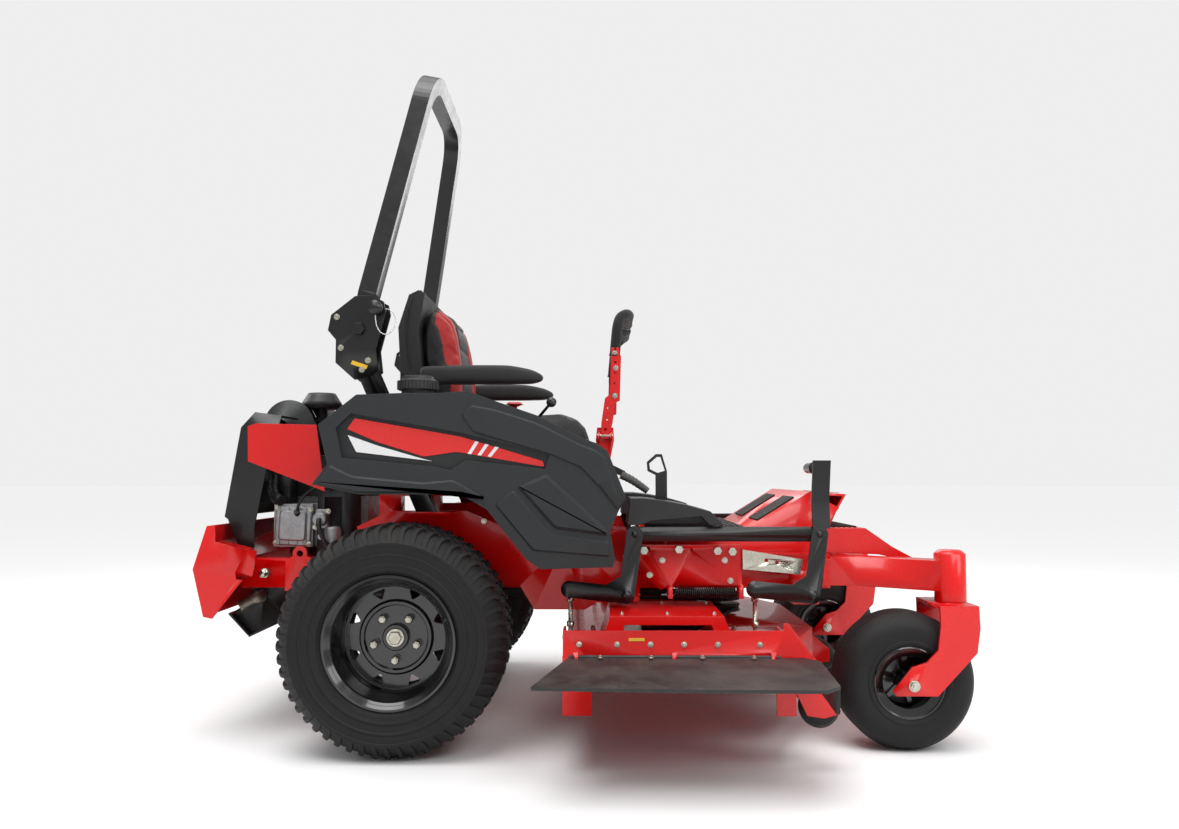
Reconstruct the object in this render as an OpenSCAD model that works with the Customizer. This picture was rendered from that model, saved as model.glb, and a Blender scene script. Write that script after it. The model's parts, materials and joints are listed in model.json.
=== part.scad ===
// Zero turn mower: a ride-on mower with two driven rear wheels, two swivelling
// front casters, a side-discharge deck between the axles and a fold-down roll bar.
// X runs forwards, Y to the operator's left, Z up. All sizes are in millimetres.

/* [Wheels] */
// Outside diameter of a rear tyre
rear_tyre_d = 580; // [500:2:610]
// Width of a rear tyre
rear_tyre_w = 267; // [200:1:290]
// Diameter of the rear rim's outer lip
rear_rim_d = 332; // [300:1:380]
// Outside diameter of a caster tyre
caster_tyre_d = 350; // [290:2:360]
// Width of a caster tyre
caster_tyre_w = 152; // [110:1:185]
// Diameter of the caster stem that turns in the arm's head
stem_d = 30; // [24:0.5:38]
// Diameter of a caster wheel's axle
caster_axle_d = 19; // [12:0.5:25]
// Circle of the five wheel nuts
lug_circle_d = 114.3; // [100:0.1:127]

/* [Frame] */
// Distance from the mid-plane to a side rail's outer face
rail_y = 345; // [300:1:350]
// Width of a side rail
rail_w = 50; // [38:1:64]
// Height of a side rail
rail_h = 80; // [60:1:88]
// Height of the rails' top faces above the ground
rail_top_z = 473; // [470:1:480]
// Distance from the mid-plane to a caster's pivot
caster_y = 450; // [440:1:480]
// Distance from the rear axle forward to the caster pivots
caster_x = 1438; // [1430:1:1500]
// Bore of a tie-down eye
eye_d = 18; // [12:0.5:22]

/* [Roll bar] */
// Width of the square tube of the roll bar
hoop_tube = 50; // [40:1:60]
// Distance from the mid-plane to a roll bar hinge
hoop_y = 408; // [400:1:420]
// Height of the roll bar's top above the ground
hoop_top_z = 1905; // [1500:5:2000]
// Radius of the roll bar's bends on the tube's centreline
hoop_bend_r = 130; // [100:5:140]
// Diameter of the hinge bolts and lock pins
hoop_pin_d = 20; // [14:0.5:24]
// How far a lock pin pulls out
hoop_pin_travel = 60; // [30:1:80]

/* [Body] */
// Distance from the mid-plane to a tank's outer face
tank_y = 520; // [500:1:540]
// Distance from the mid-plane to a tank's inner face
tank_inner_y = 315; // [300:1:330]
// Thickness of the skirt that hangs below a tank
skirt_t = 26; // [16:1:40]
// Depth of the recess for the side decal
recess_depth = 12; // [6:1:20]
// Diameter of a fuel cap
cap_d = 110; // [80:1:112]

/* [Seat] */
// Width of the seat cushions
seat_w = 480; // [420:5:500]
// Thickness of the seat cushion
cushion_t = 90; // [60:1:110]
// Length of an armrest
armrest_l = 340; // [260:5:360]

/* [Deck] */
// Distance from the mid-plane to the deck's discharge side
deck_right_y = 680; // [670:1:700]
// Distance from the mid-plane to the deck's closed side
deck_left_y = 665; // [660:1:700]
// Height of the deck's top plate
deck_top_z = 270; // [262:1:276]
// Depth of the deck's walls
deck_depth = 137; // [110:1:150]
// Thickness of the deck's plates
deck_t = 6; // [3:0.5:8]
// Distance from the mid-plane to an outer spindle
spindle_y = 430; // [425:1:436]
// Distance that the middle spindle stands forward of the outer ones
spindle_lead = 180; // [175:1:190]
// Length of a blade
blade_l = 450; // [400:1:452]
// Width of the discharge deflector
deflector_w = 238; // [180:1:260]
// Drop of the deck between its two end positions
deck_travel = 76; // [40:1:78]

/* [Lift] */
// Length of a lift crank's arm from its pivot to the hanger pin
lift_arm = 152.8; // [140:0.1:160]
// Diameter of the pins that join cranks, links and hangers
lift_pin_d = 16; // [12:0.5:20]
// Distance from the mid-plane to the middle of a lift crank
crank_y = 432; // [425:1:436]

/* [Hidden] */
$fn = 48;

// Clearances
fit = 0.05;
gap = 0.5;

// Bounds of the whole machine, which set the frame's origin
front_x = caster_x - 132 + caster_tyre_d / 2;
rear_x = -568;
deflector_drop = 5.3;
right_y = deck_right_y + 12 + deflector_w * cos(deflector_drop);
left_y = max(rail_y + 23 + rear_tyre_w, deck_left_y);
origin_x = (front_x + rear_x) / 2;
origin_y = (left_y - right_y) / 2;

// Wheels
axle_z = rear_tyre_d / 2;
tyre_in_y = rail_y + 23;
tyre_mid_y = tyre_in_y + rear_tyre_w / 2;
axle_r = 19;
bead_r = rear_rim_d / 2 - 14;
trail = 132;
caster_wheel_x = caster_x - trail;
caster_wheel_z = caster_tyre_d / 2;
fork_in_y = caster_tyre_w / 2 + 8;
fork_t = 8;
head_r = 40;
head_low_z = 373;
head_high_z = 496;

// Frame
rail_low_z = rail_top_z - rail_h;
rail_in_y = rail_y - rail_w;
plate_t = 6;
frame_rear_x = -470;
frame_front_x = 1150;

// Roll bar
hoop_pivot = [-130, 1095];
hoop_lean = 10.65;
hoop_taper = 0.2228;
plate_in = hoop_tube / 2 + 1;
lock_pin = [-82, 1150];
upright_foot = [55, 606];
upright_head = [-118, 1000];

// Engine
engine_x = -300;
crank_low_z = 300;
exhaust_at = [-330, 90];
plate_high_z = 652;

// Lift linkage
pivot_front = [1081, 384];
pivot_rear = [590, 384];
link_arm = [22, 161];
arm_up = 16;
hanger_arm = [-sqrt(lift_arm * lift_arm - arm_up * arm_up), arm_up];
crank_t = 8;
link_y = crank_y - crank_t - 1;
hanger_y = crank_y - crank_t - 2;

// Deck
deck_low_z = deck_top_z - 6 - deck_depth + deck_t;
spindle_x = 700;
blade_z = deck_low_z + 26;
hinge_z = 272;
hinge_y = deck_right_y + 12;
corner_x = 985;
function deck_outline(t) = [
    [430 + t, -deck_right_y + t], [430 + t, deck_left_y - t], [corner_x - t, deck_left_y - t],
    [corner_x - t, 560], [1122 - t, 240], [1122 - t, -240], [corner_x - t, -560],
    [corner_x - t, -deck_right_y + t]
];
roller_at = [1045, 146];
roller_w = 58;

// Route of the lock pin's lanyard, from the bracket's plate to the pin's ring
lanyard_route = [
    [-59.3, -437, 1150], [-48, -438, 1148], [-38, -440, 1140], [-31, -443, 1127],
    [-29, -447, 1112], [-32, -451, 1098], [-39, -454, 1086], [-48, -456, 1079],
    [-58, -457, 1078], [-67, -458, 1083], [-74, -458, 1092], [-79, -458, 1104],
    [-81, -458, 1117], [-82, -458, 1130]
];
lanyard_d = 3;

// ---- helpers ----

// Places the machine so that the origin is under the middle of its box
module placed() {
    translate([-origin_x, -origin_y, 0]) children();
}

// A slab between two distances along Y, from an outline drawn in X and Z
module slab(y0, y1) {
    translate([0, y1, 0]) rotate([90, 0, 0]) linear_extrude(y1 - y0) children();
}

// A round bar along Y between two distances
module bar_y(p, r, y0, y1) {
    translate([p[0], y1, p[1]]) rotate([90, 0, 0]) cylinder(r = r, h = y1 - y0);
}

// A round bar along X
module bar_x(x0, x1, y, z, r) {
    translate([x0, y, z]) rotate([0, 90, 0]) cylinder(r = r, h = x1 - x0);
}

// A box from its low and high corners
module block(a, b) {
    translate(a) cube([b[0] - a[0], b[1] - a[1], b[2] - a[2]]);
}

// The right-hand piece for side -1, its mirror image for side 1
module on_side(s) {
    if (s < 0) children();
    else mirror([0, 1, 0]) children();
}

module both_sides() {
    on_side(-1) children();
    on_side(1) children();
}

// A round bar between two points
module rod(a, b, r) {
    v = b - a;
    translate(a) rotate([0, acos(v[2] / norm(v)), atan2(v[1], v[0])]) cylinder(r = r, h = norm(v));
}

// A hexagonal head along Y
module hex_y(p, across, y0, y1) {
    translate([p[0], y1, p[1]]) rotate([90, 0, 0])
        cylinder(d = across / cos(30), h = y1 - y0, $fn = 6);
}

// A bar with round ends between two points, in two dimensions
module strap_2d(a, b, w) {
    n = (w / 2) * [a[1] - b[1], b[0] - a[0]] / norm(b - a);
    polygon([a + n, a - n, b - n, b + n]);
    translate(a) circle(d = w);
    translate(b) circle(d = w);
}

// A tube of n sides swept along a route of points
function unit(v) = v / norm(v);
function heading(p, i) = unit(p[min(i + 1, len(p) - 1)] - p[max(i - 1, 0)]);
function ring(c, t, r, n) =
    let (u = unit(cross(t, [0, 1, 0])), v = cross(u, t))
    [for (k = [0:n - 1]) c + r * (cos(360 * k / n) * u + sin(360 * k / n) * v)];

module swept_tube(path, d, n) {
    rings = [for (i = [0:len(path) - 1]) ring(path[i], heading(path, i), d / 2, n)];
    last = (len(path) - 1) * n;
    sides = [for (i = [0:len(path) - 2], k = [0:n - 1], upper = [false, true])
        let (a = i * n + k, b = i * n + (k + 1) % n)
        upper ? [a, b + n, a + n] : [a, b, b + n]];
    caps = [[for (k = [n - 1:-1:0]) k], [for (k = [0:n - 1]) last + k]];
    polyhedron([for (r = rings) each r], concat(sides, caps));
}

// ---- chassis ----

module side_plates() {
    rear_plate = [
        [-120, 450], [-150, 560], [-60, 604], [150, 604], [250, 560],
        [590, 560], [628, rail_top_z], [628, 358], [590, 354], [510, 354], [480, 335],
        [340, 335], [300, 400],
        [160, 400], [160, 450]
    ];
    front_plate = [
        [618, 512], [907, 512], [907, 396], [722, 402], [684, 390], [618, 448]
    ];
    difference() {
        slab(-rail_y - plate_t, -rail_y) polygon(rear_plate);
        bar_y([420, 520], 9, -rail_y - 10, -rail_y + 4);
        bar_y([470, 505], 9, -rail_y - 10, -rail_y + 4);
    }
    difference() {
        slab(-rail_y - plate_t - 12, -rail_y) polygon(front_plate);
        bar_y([650, 500], 7, -rail_y - 20, -rail_y + 4);
        bar_y([770, 498], 4, -rail_y - 20, -rail_y + 4);
    }
}

module tie_down_plate() {
    difference() {
        slab(-rail_y - 8, -rail_y) union() {
            polygon([[-345, 385], [-345, 465], [-318, 485], [-294, 485], [-266, 465], [-266, 385]]);
            translate([-306, 486]) circle(r = 20, $fn = 48);
        }
        bar_y([-306, 486], eye_d / 2, -rail_y - 10, -rail_y + 2);
    }
}

module main_frame() color([0.85, 0.05, 0.04]) difference() {
    union() {
        frame_solids();
        control_brackets();
    }
    for (p = [pivot_rear, pivot_front]) bar_y(p, 15 + fit, -rail_y - 20, rail_y + 20);
    translate([engine_x, 0, 460]) cylinder(r = 20, h = 20);
    both_sides() translate([exhaust_at[0], -exhaust_at[1], 460]) cylinder(r = 17, h = 20);
}

module frame_solids() {
    both_sides() {
        block([frame_rear_x, -rail_y, rail_low_z], [frame_front_x, -rail_in_y, rail_top_z]);
        slab(-rail_y - plate_t, -rail_in_y) polygon([
            [1046, 350], [1116, 350], [1126, rail_low_z], [1126, 440], [1036, 440],
            [1036, rail_low_z]
        ]);
        slab(-rail_y, -rail_in_y)
            polygon([[560, rail_low_z], [575, 356], [605, 356], [620, rail_low_z]]);
        side_plates();
        tie_down_plate();
        block([10, -hoop_y - hoop_tube / 2 - 4, 596], [112, -rail_y, 604]);
        for (x = [703, 893])
            block([x, -401, 371], [x + 12, -rail_y, 406]);
        for (x = [-90, 400])
            block([x, -rail_y, rail_top_z], [x + 60, -rail_in_y, 645]);
        block([80, -150, 651], [440, -130, 676]);
    }
    for (x = [frame_rear_x, -150, 590, 1100])
        block([x, -rail_in_y - 1, rail_top_z - 66], [x + 40, rail_in_y + 1, rail_top_z - 6]);
    block([-460, -rail_in_y - 1, rail_top_z - 6], [-110, rail_in_y + 1, rail_top_z]);
    block([-90, -rail_y, 644], [460, rail_y, plate_high_z]);
}

// The pins and brackets that the levers turn on
module control_brackets() {
    both_sides() {
        slab(-304, -297)
            polygon([[500, rail_top_z - 2], [560, rail_top_z - 2], [546, 606], [510, 606]]);
        bar_y(arm_pivot, 8, -304, -lap_y + 6);
    }
    slab(-255, -249)
        polygon([[380, 646], [460, 646], [536, 720], [536, 748], [506, 750], [440, 692]]);
    bar_y(brake_pivot, 6, -brake_y - 6, -249);
}

module front_arms() color([0.88, 0.05, 0.04]) difference() {
    arm_solids();
    both_sides() translate([caster_x, -caster_y, 300])
        cylinder(d = stem_d + 2 * fit, h = head_high_z - 6 - 300);
}

module arm_solids() {
    arm_low = 400;
    arm_high = rail_top_z + 5;
    head_in = caster_y - 46;
    both_sides() {
        translate([0, 0, arm_low]) linear_extrude(arm_high - arm_low) polygon([
            [frame_front_x, -rail_y], [frame_front_x + 70, -rail_y],
            [caster_x - 20, -caster_y - 32], [caster_x + 20, -caster_y - 10],
            [caster_x + 10, -head_in], [frame_front_x + 110, -rail_in_y],
            [frame_front_x, -rail_in_y]
        ]);
        translate([caster_x, -caster_y, head_low_z])
            cylinder(r = head_r, h = head_high_z - head_low_z);
        translate([caster_x, -caster_y, head_high_z])
            cylinder(r1 = head_r, r2 = head_r - 12, h = 10);
    }
    block([frame_front_x + 6, -rail_in_y - 1, 405], [frame_front_x + 66, rail_in_y + 1, 465]);
}

module rear_bumper() color([0.95, 0.1, 0.08]) {
    wing_y = 430;
    face = [[-533, 566], [-568, 451], [-537, 325], [-531, 325], [-561, 451], [-526, 566]];
    wing = [
        [-533, 566], [-511, 566], [-511, 524], [-426, 502], [-454, 445], [-451, 424],
        [-434, 422], [-513, 320], [-537, 325], [-568, 451]
    ];
    flange = [
        [-426, 502], [-400, 500], [-410, 431], [-451, 424], [-463, 424], [-466, 446],
        [-438, 504]
    ];
    slab(-wing_y + plate_t, wing_y - plate_t) polygon(face);
    both_sides() {
        slab(-wing_y, -wing_y + plate_t) polygon(wing);
        slab(-wing_y + plate_t, -wing_y + 2 * plate_t) polygon(flange);
        block([-526, -wing_y + plate_t, 410], [-470, -rail_in_y, 440]);
        slab(-wing_y + plate_t, -wing_y + 60)
            polygon([[-511, 524], [-426, 502], [-427, 497], [-512, 519]]);
    }
}

module engine_guards() color([0.12, 0.12, 0.12]) {
    half = 330;
    lean = [[-484, 835], [-524, 586], [-518, 585], [-478, 835]];
    difference() {
        slab(-half, half) polygon(lean);
        for (z = [650, 720, 790])
            both_sides() {
                block([-560, -half + 40, z], [-440, -175, z + 24]);
                block([-560, -155, z], [-440, -40, z + 24]);
            }
    }
    both_sides() {
        slab(-half, -190) polygon([
            [-484, 834], [-445, 878], [-370, 868], [-370, 863], [-444, 873], [-478, 834]
        ]);
        slab(-half - 4, -half) polygon([
            [-484, 835], [-445, 878], [-370, 868], [-405, 748], [-440, 560],
            [-440, rail_top_z], [-470, rail_top_z], [-515, 580], [-524, 586]
        ]);
        difference() {
            slab(-186, -180) polygon([
                [-553, 302], [-490, 236], [-380, 288], [-384, 380],
                [-430, rail_top_z - 66], [-470, rail_top_z - 66], [-520, 322]
            ]);
            bar_y([-470, 350], 20, -190, -170);
        }
    }
    difference() {
        slab(-220, 220) polygon([
            [-553, 302], [-490, 236], [-380, 288], [-382, 293], [-490, 242], [-549, 306]
        ]);
        for (y = [-190:34:180]) {
            block([-536, y, 256], [-504, y + 16, 320]);
            block([-470, y, 220], [-396, y + 16, 320]);
        }
    }
}

module muffler() color([0.16, 0.15, 0.15]) {
    bar_y([-462, 352], 38, -150, 150);
    bar_y([-470, 350], 17, -222, -148);
    translate([-470, -205, 350]) rotate([0, -118, 20]) difference() {
        cylinder(r = 15, h = 58);
        translate([0, 0, 24]) cylinder(r = 12.5, h = 60);
    }
    both_sides() {
        bar_x(-440, exhaust_at[0], -exhaust_at[1], 352, 14);
        translate([exhaust_at[0], -exhaust_at[1], 352]) sphere(r = 15);
        translate([exhaust_at[0], -exhaust_at[1], 352]) cylinder(r = 14, h = rail_top_z - 352);
    }
}

module engine_block() color([0.72, 0.72, 0.73]) {
    fin_count = 9;
    block([-400, -150, rail_top_z], [-170, 150, 640]);
    both_sides() {
        for (i = [0:fin_count - 1])
            block([-395, -168 - i * 12, 500], [-285, -162 - i * 12, 620]);
        block([-380, -270, 512], [-300, -150, 608]);
        block([-400, -292, 500], [-290, -270, 620]);
    }
    translate([engine_x, 0, crank_low_z]) cylinder(r = 14, h = rail_top_z - crank_low_z);
}

module engine_shroud() color([0.13, 0.13, 0.14]) {
    difference() {
        union() {
            translate([-290, 0, 640]) cylinder(r = 190, h = 120, $fn = 64);
            both_sides() block([-282, -278, 480], [-190, -153, 690]);
        }
        translate([-290, 0, 744]) cylinder(r = 130, h = 40);
        both_sides() block([-262, -290, 500], [-212, -272, 640]);
    }
}

canister = [-402, 850];

module air_cleaner() color([0.2, 0.21, 0.22]) {
    bar_y(canister, 70, -170, 170);
    for (y = [-178, 170]) bar_y(canister, 74, y, y + 8);
    for (y = [-120:20:120]) bar_y(canister, 72, y, y + 6);
    block([-446, -20, 760], [-424, 20, 792]);
    translate([-322, -120, 868]) cylinder(r = 18, h = 32);
    translate([-322, -120, 900]) cylinder(r1 = 54, r2 = 61, h = 14);
    translate([-322, -120, 914]) cylinder(r1 = 61, r2 = 40, h = 34);
    translate([-322, -120, 862]) cylinder(r = 22, h = 8);
    bar_x(-350, -322, -120, 880, 14);
    intake();
}

module intake() color([0.1, 0.1, 0.1]) {
    translate([-428, -215, 703]) cylinder(r = 27, h = 137);
    translate([-428, -215, 703]) cylinder(r = 30, h = 12);
    bar_y([-428, 840], 27, -242, -178);
    block([-462, -250, 620], [-370, -180, 704]);
}

module transaxles() color([0.22, 0.22, 0.23]) {
    both_sides() difference() {
        union() {
            block([-85, -280, axle_z - 90], [95, -110, rail_low_z - 10]);
            bar_y([0, axle_z], 55, -tyre_in_y + 8, -270);
            translate([-20, -190, rail_low_z - 12]) cylinder(r = 60, h = 8);
            block([-50, -340, 320], [50, -300, rail_low_z]);
        }
        bar_y([0, axle_z], axle_r + fit, -tyre_in_y, -250);
    }
    both_sides() translate([60, -190, axle_z - 96]) cylinder(r = 50, h = 6);
}

tank_outline = [
    [-212, 833], [-114, 911], [1, 915], [105, 915], [175, 920], [251, 893], [358, 856],
    [475, 797], [512, 784], [539, 765], [562, 709], [587, 645], [568, 652],
    [160, 652], [-4, 652], [-103, 652], [-226, 678], [-187, 730]
];
skirt_outline = [
    [160, 652], [228, 613], [328, 489], [366, 461], [552, 466], [559, 486],
    [546, 557], [568, 610], [587, 645], [584, 652]
];
recess_outline = [
    [-127, 862], [-166, 824], [-149, 746], [95, 723], [131, 714], [172, 740],
    [378, 718], [390, 756], [158, 812]
];
neck = [36, -463];
neck_r = 41;

module fuel_tank(has_controls) color([0.18, 0.19, 0.2]) {
    channel = hoop_tube / 2 + 10;
    along = upright_head - upright_foot;
    side = channel * [along[1], -along[0]] / norm(along);
    low = upright_foot - along;
    high = upright_head + along;
    difference() {
        union() {
            slab(-tank_y, -tank_inner_y) polygon(tank_outline);
            slab(-tank_y, -tank_y + skirt_t) polygon(skirt_outline);
            translate([neck[0], neck[1], 905]) cylinder(r = neck_r, h = 34);
        }
        slab(-tank_y - 1, -tank_y + recess_depth) polygon(recess_outline);
        slab(-hoop_y - channel, -tank_inner_y + 1)
            polygon([low + side, low - side, high - side, high + side]);
        block([-260, -hoop_y - channel, 600], [-60, -tank_inner_y + 1, 950]);
        if (has_controls) {
            translate([pto_at[0], -throttle_y, pto_at[1] - 20]) cylinder(r = 8, h = 40);
            block([336, -throttle_y - 6, 838], [376, -throttle_y + 6, 880]);
        }
    }
}

module fuel_cap() color([0.12, 0.12, 0.12]) difference() {
    union() {
        translate([neck[0], neck[1], 926]) cylinder(d = cap_d, h = 26);
        translate([neck[0], neck[1], 952]) cylinder(d1 = cap_d - 8, d2 = cap_d - 16, h = 12);
    }
    translate([neck[0], neck[1], 920]) cylinder(r = neck_r + fit, h = 19 + gap);
}

module front_covers() color([0.2, 0.2, 0.19]) {
    both_sides() slab(-282, -268) polygon([[645, 553], [845, 553], [830, 580], [645, 580]]);
    both_sides() difference() {
        slab(-crank_y - 8, -rail_in_y + 30) polygon([
            [592, 569], [600, 641], [637, 641], [694, 634], [751, 623], [813, 606],
            [851, 569]
        ]);
        slab(-crank_y - 20, -crank_y + 26)
            polygon([[600, 560], [656, 580], [790, 592], [818, 560]]);
        block([655, -345, 560], [730, -315, 700]);
    }
}

module rops_uprights() color([0.07, 0.07, 0.07]) {
    along = upright_head - upright_foot;
    across = hoop_tube / 2 * [along[1], -along[0]] / norm(along);
    low_end = upright_foot - 0.1 * along;
    plate_outline = [
        [-142, 1185], [-100, 1188], [-64, 1170], [-58, 1142], [-84, 1040], [-77, 982],
        [-98, 967], [-140, 958], [-192, 1004], [-192, 1066], [-214, 1092], [-206, 1134]
    ];
    both_sides() {
        slab(-hoop_y - hoop_tube / 2, -hoop_y + hoop_tube / 2) difference() {
            polygon([
                low_end + across, low_end - across,
                upright_head - across, upright_head + across
            ]);
            translate([-50, 500]) square([300, 104]);
        }
        for (y = [-hoop_y - plate_in - plate_t, -hoop_y + plate_in])
            difference() {
                slab(y, y + plate_t) polygon(plate_outline);
                bar_y(hoop_pivot, hoop_pin_d / 2 + fit, y - 1, y + plate_t + 1);
                bar_y(lock_pin, hoop_pin_d / 2 + fit, y - 1, y + plate_t + 1);
                bar_y([-190, 1128], 7, y - 1, y + plate_t + 1);
                bar_y([-178, 1044], 7, y - 1, y + plate_t + 1);
            }
        for (y = [-hoop_y - plate_in, -hoop_y + hoop_tube / 2])
            slab(y, y + 1) polygon([[-98, 967], [-140, 958], [-170, 985], [-120, 1000], [-88, 1000]]);
    }
}

module foot_plate() color([0.92, 0.2, 0.18]) {
    half = 282;
    floor_z = 553;
    slab(-half, half) polygon([
        [640, floor_z - 8], [640, floor_z], [946, floor_z], [1110, 655], [1214, 648],
        [1192, 610], [1187, 613], [1204, 642], [1112, 648], [950, floor_z - 8]
    ]);
    slab(-half, half) polygon([
        [1150, floor_z - 8], [1150, floor_z], [1265, floor_z], [1338, 502], [1412, 462],
        [1408, 456], [1334, 495], [1262, floor_z - 8]
    ]);
    slab(-half, half)
        polygon([[1150, floor_z - 8], [1150, floor_z], [1184, 613], [1192, 613], [1160, floor_z - 8]]);
    both_sides() {
        slab(-half - plate_t, -half) polygon([
            [1150, 486], [1150, floor_z], [1265, floor_z], [1338, 502], [1412, 462],
            [1408, 456], [1300, 480]
        ]);
        slab(-half - plate_t, -half) polygon([
            [640, 486], [640, floor_z], [946, floor_z], [1110, 655], [1192, 610],
            [1150, floor_z], [1150, 486]
        ]);
        block([640, -rail_y, rail_top_z], [1148, -half, 486]);
    }
    slab(-324, -318) polygon([[668, 480], [712, 480], [704, 556], [676, 556]]);
    bar_y(lock_pivot, 6, -336, -318);
}

module zinc_hardware() color([0.75, 0.76, 0.78]) {
    both_sides() {
        for (p = [[640, 497], [735, 500], [840, 496], [880, 494], [-400, 434]])
            hex_y(p, 20, -rail_y - 20 - 10, -rail_y - 18);
        hex_y([-400, 434], 24, -rail_y - 18, -rail_y);
        slab(-rail_y - 30, -rail_y - 24)
            difference() {
                polygon([[907, 500], [907, 447], [1062, 433], [1070, 474]]);
                for (p = [[971, 471], [999, 465], [1027, 459]])
                    translate(p) circle(r = 5, $fn = 24);
            }
        block([908, -rail_y - 25, 450], [1032, -rail_y, 462]);
    }
}

module lift_spring() color([0.1, 0.06, 0.06]) bar_x(715, 893, -386, 386, 15);

module pin_lanyard() color([0.85, 0.85, 0.86]) swept_tube(lanyard_route, lanyard_d, 8);

// ---- rear wheels ----

// A solid of revolution about Y, from a profile of radius and distance along Y
module turned_y(x, y, z) {
    translate([x, y, z]) rotate([-90, 0, 0]) rotate_extrude($fn = 96) children();
}

module rear_tyre() color([0.08, 0.08, 0.08]) {
    r = rear_tyre_d / 2;
    h = rear_tyre_w / 2;
    turned_y(0, -tyre_mid_y, axle_z) polygon([
        [bead_r + gap, -h + 26], [bead_r + 14, -h + 22], [bead_r + 34, -h + 6],
        [r - 74, -h], [r - 28, -h + 8], [r - 10, -h + 26], [r - 2, -h + 60], [r, -h + 90],
        [r, h - 90], [r - 2, h - 60], [r - 10, h - 26], [r - 28, h - 8], [r - 74, h],
        [bead_r + 34, h - 6], [bead_r + 14, h - 22], [bead_r + gap, h - 26]
    ]);
}

module rear_rim() color([0.05, 0.05, 0.05]) {
    h = rear_tyre_w / 2;
    lip = rear_rim_d / 2;
    disc = -14;
    hub_r = 34;
    difference() {
        union() {
            turned_y(0, -tyre_mid_y, axle_z) polygon([
                [lip - 6, -h + 14], [lip, -h + 15], [lip, -h + 20], [bead_r, -h + 22],
                [bead_r, -h + 46], [bead_r - 14, -h + 64], [bead_r - 14, h - 64],
                [bead_r, h - 46], [bead_r, h - 22], [lip, h - 20], [lip, h - 15],
                [lip - 6, h - 14], [bead_r - 6, h - 28], [bead_r - 6, h - 46],
                [bead_r - 20, h - 66], [bead_r - 20, disc + 6], [90, disc + 22],
                [80, disc + 4], [hub_r - 4, disc + 4], [hub_r - 4, disc - 4], [84, disc - 4],
                [94, disc + 12], [bead_r - 20, disc - 4], [bead_r - 20, -h + 66],
                [bead_r - 6, -h + 46], [bead_r - 6, -h + 28]
            ]);
            bar_y([0, axle_z], hub_r, -tyre_mid_y - 34, -tyre_in_y - 2);
            bar_y([0, axle_z], axle_r, -tyre_mid_y - 46, -262);
        }
        for (a = [22.5:45:359])
            translate([0, -tyre_mid_y, axle_z]) rotate([0, a, 0])
                translate([110, 60, 0]) rotate([90, 0, 0]) cylinder(r = 13, h = 120);
    }
    for (a = [18:72:359])
        translate([0, -tyre_mid_y, axle_z]) rotate([0, a, 0])
            hex_y([lug_circle_d / 2, 0], 20, disc - 24, disc);
}

// ---- casters ----

module caster_fork() color([0.93, 0.07, 0.05]) {
    leg = [
        [caster_x - 60, 372], [caster_x + 38, 372], [caster_x + 40, 316],
        [caster_x + 31, 255], [caster_x - 70, 148], [caster_x - 174, 148],
        [caster_x - 182, 160], [caster_x - 134, 219], [caster_x - 96, 231],
        [caster_x - 67, 261], [caster_x - 59, 322]
    ];
    for (y = [-caster_y - fork_in_y - fork_t, -caster_y + fork_in_y])
        difference() {
            slab(y, y + fork_t) polygon(leg);
            bar_y([caster_wheel_x, caster_wheel_z], caster_axle_d / 2, y - 1, y + fork_t + 1);
        }
    block([caster_x - 60, -caster_y - fork_in_y, 362], [caster_x + 38, -caster_y + fork_in_y, 372]);
    translate([caster_x, -caster_y, 372]) cylinder(d = stem_d, h = head_high_z - 8 - 372);
    bar_y([caster_wheel_x, caster_wheel_z], caster_axle_d / 2,
        -caster_y - fork_in_y - fork_t, -caster_y + fork_in_y + fork_t);
    hex_y([caster_wheel_x, caster_wheel_z], 28, -caster_y - fork_in_y - fork_t - 10,
        -caster_y - fork_in_y - fork_t);
    hex_y([caster_wheel_x, caster_wheel_z], 28, -caster_y + fork_in_y + fork_t,
        -caster_y + fork_in_y + fork_t + 10);
}

module caster_wheel() {
    r = caster_tyre_d / 2;
    h = caster_tyre_w / 2;
    bead = 76;
    bore = caster_axle_d / 2 + fit;
    color([0.07, 0.07, 0.07]) turned_y(caster_wheel_x, -caster_y, caster_wheel_z) polygon([
        [bead + gap, -h + 20], [bead + 18, -h + 12], [bead + 40, -h], [r - 32, -h + 4],
        [r - 12, -h + 20], [r - 2, -h + 48], [r, -h + 66], [r, h - 66], [r - 2, h - 48],
        [r - 12, h - 20], [r - 32, h - 4], [bead + 40, h], [bead + 18, h - 12],
        [bead + gap, h - 20]
    ]);
    color([0.05, 0.05, 0.05]) turned_y(caster_wheel_x, -caster_y, caster_wheel_z) polygon([
        [bore, -h], [22, -h], [22, -24], [bead - 10, -10], [bead - 10, -h + 16],
        [bead + 12, -h + 10], [bead + 12, -h + 6], [bead + 16, -h + 6],
        [bead + 16, -h + 12], [bead, -h + 18], [bead, h - 18], [bead + 16, h - 12],
        [bead + 16, h - 6], [bead + 12, h - 6], [bead + 12, h - 10], [bead - 10, h - 16],
        [bead - 10, 10], [22, 24], [22, h], [bore, h]
    ]);
}

// ---- roll bar hoop ----

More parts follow.
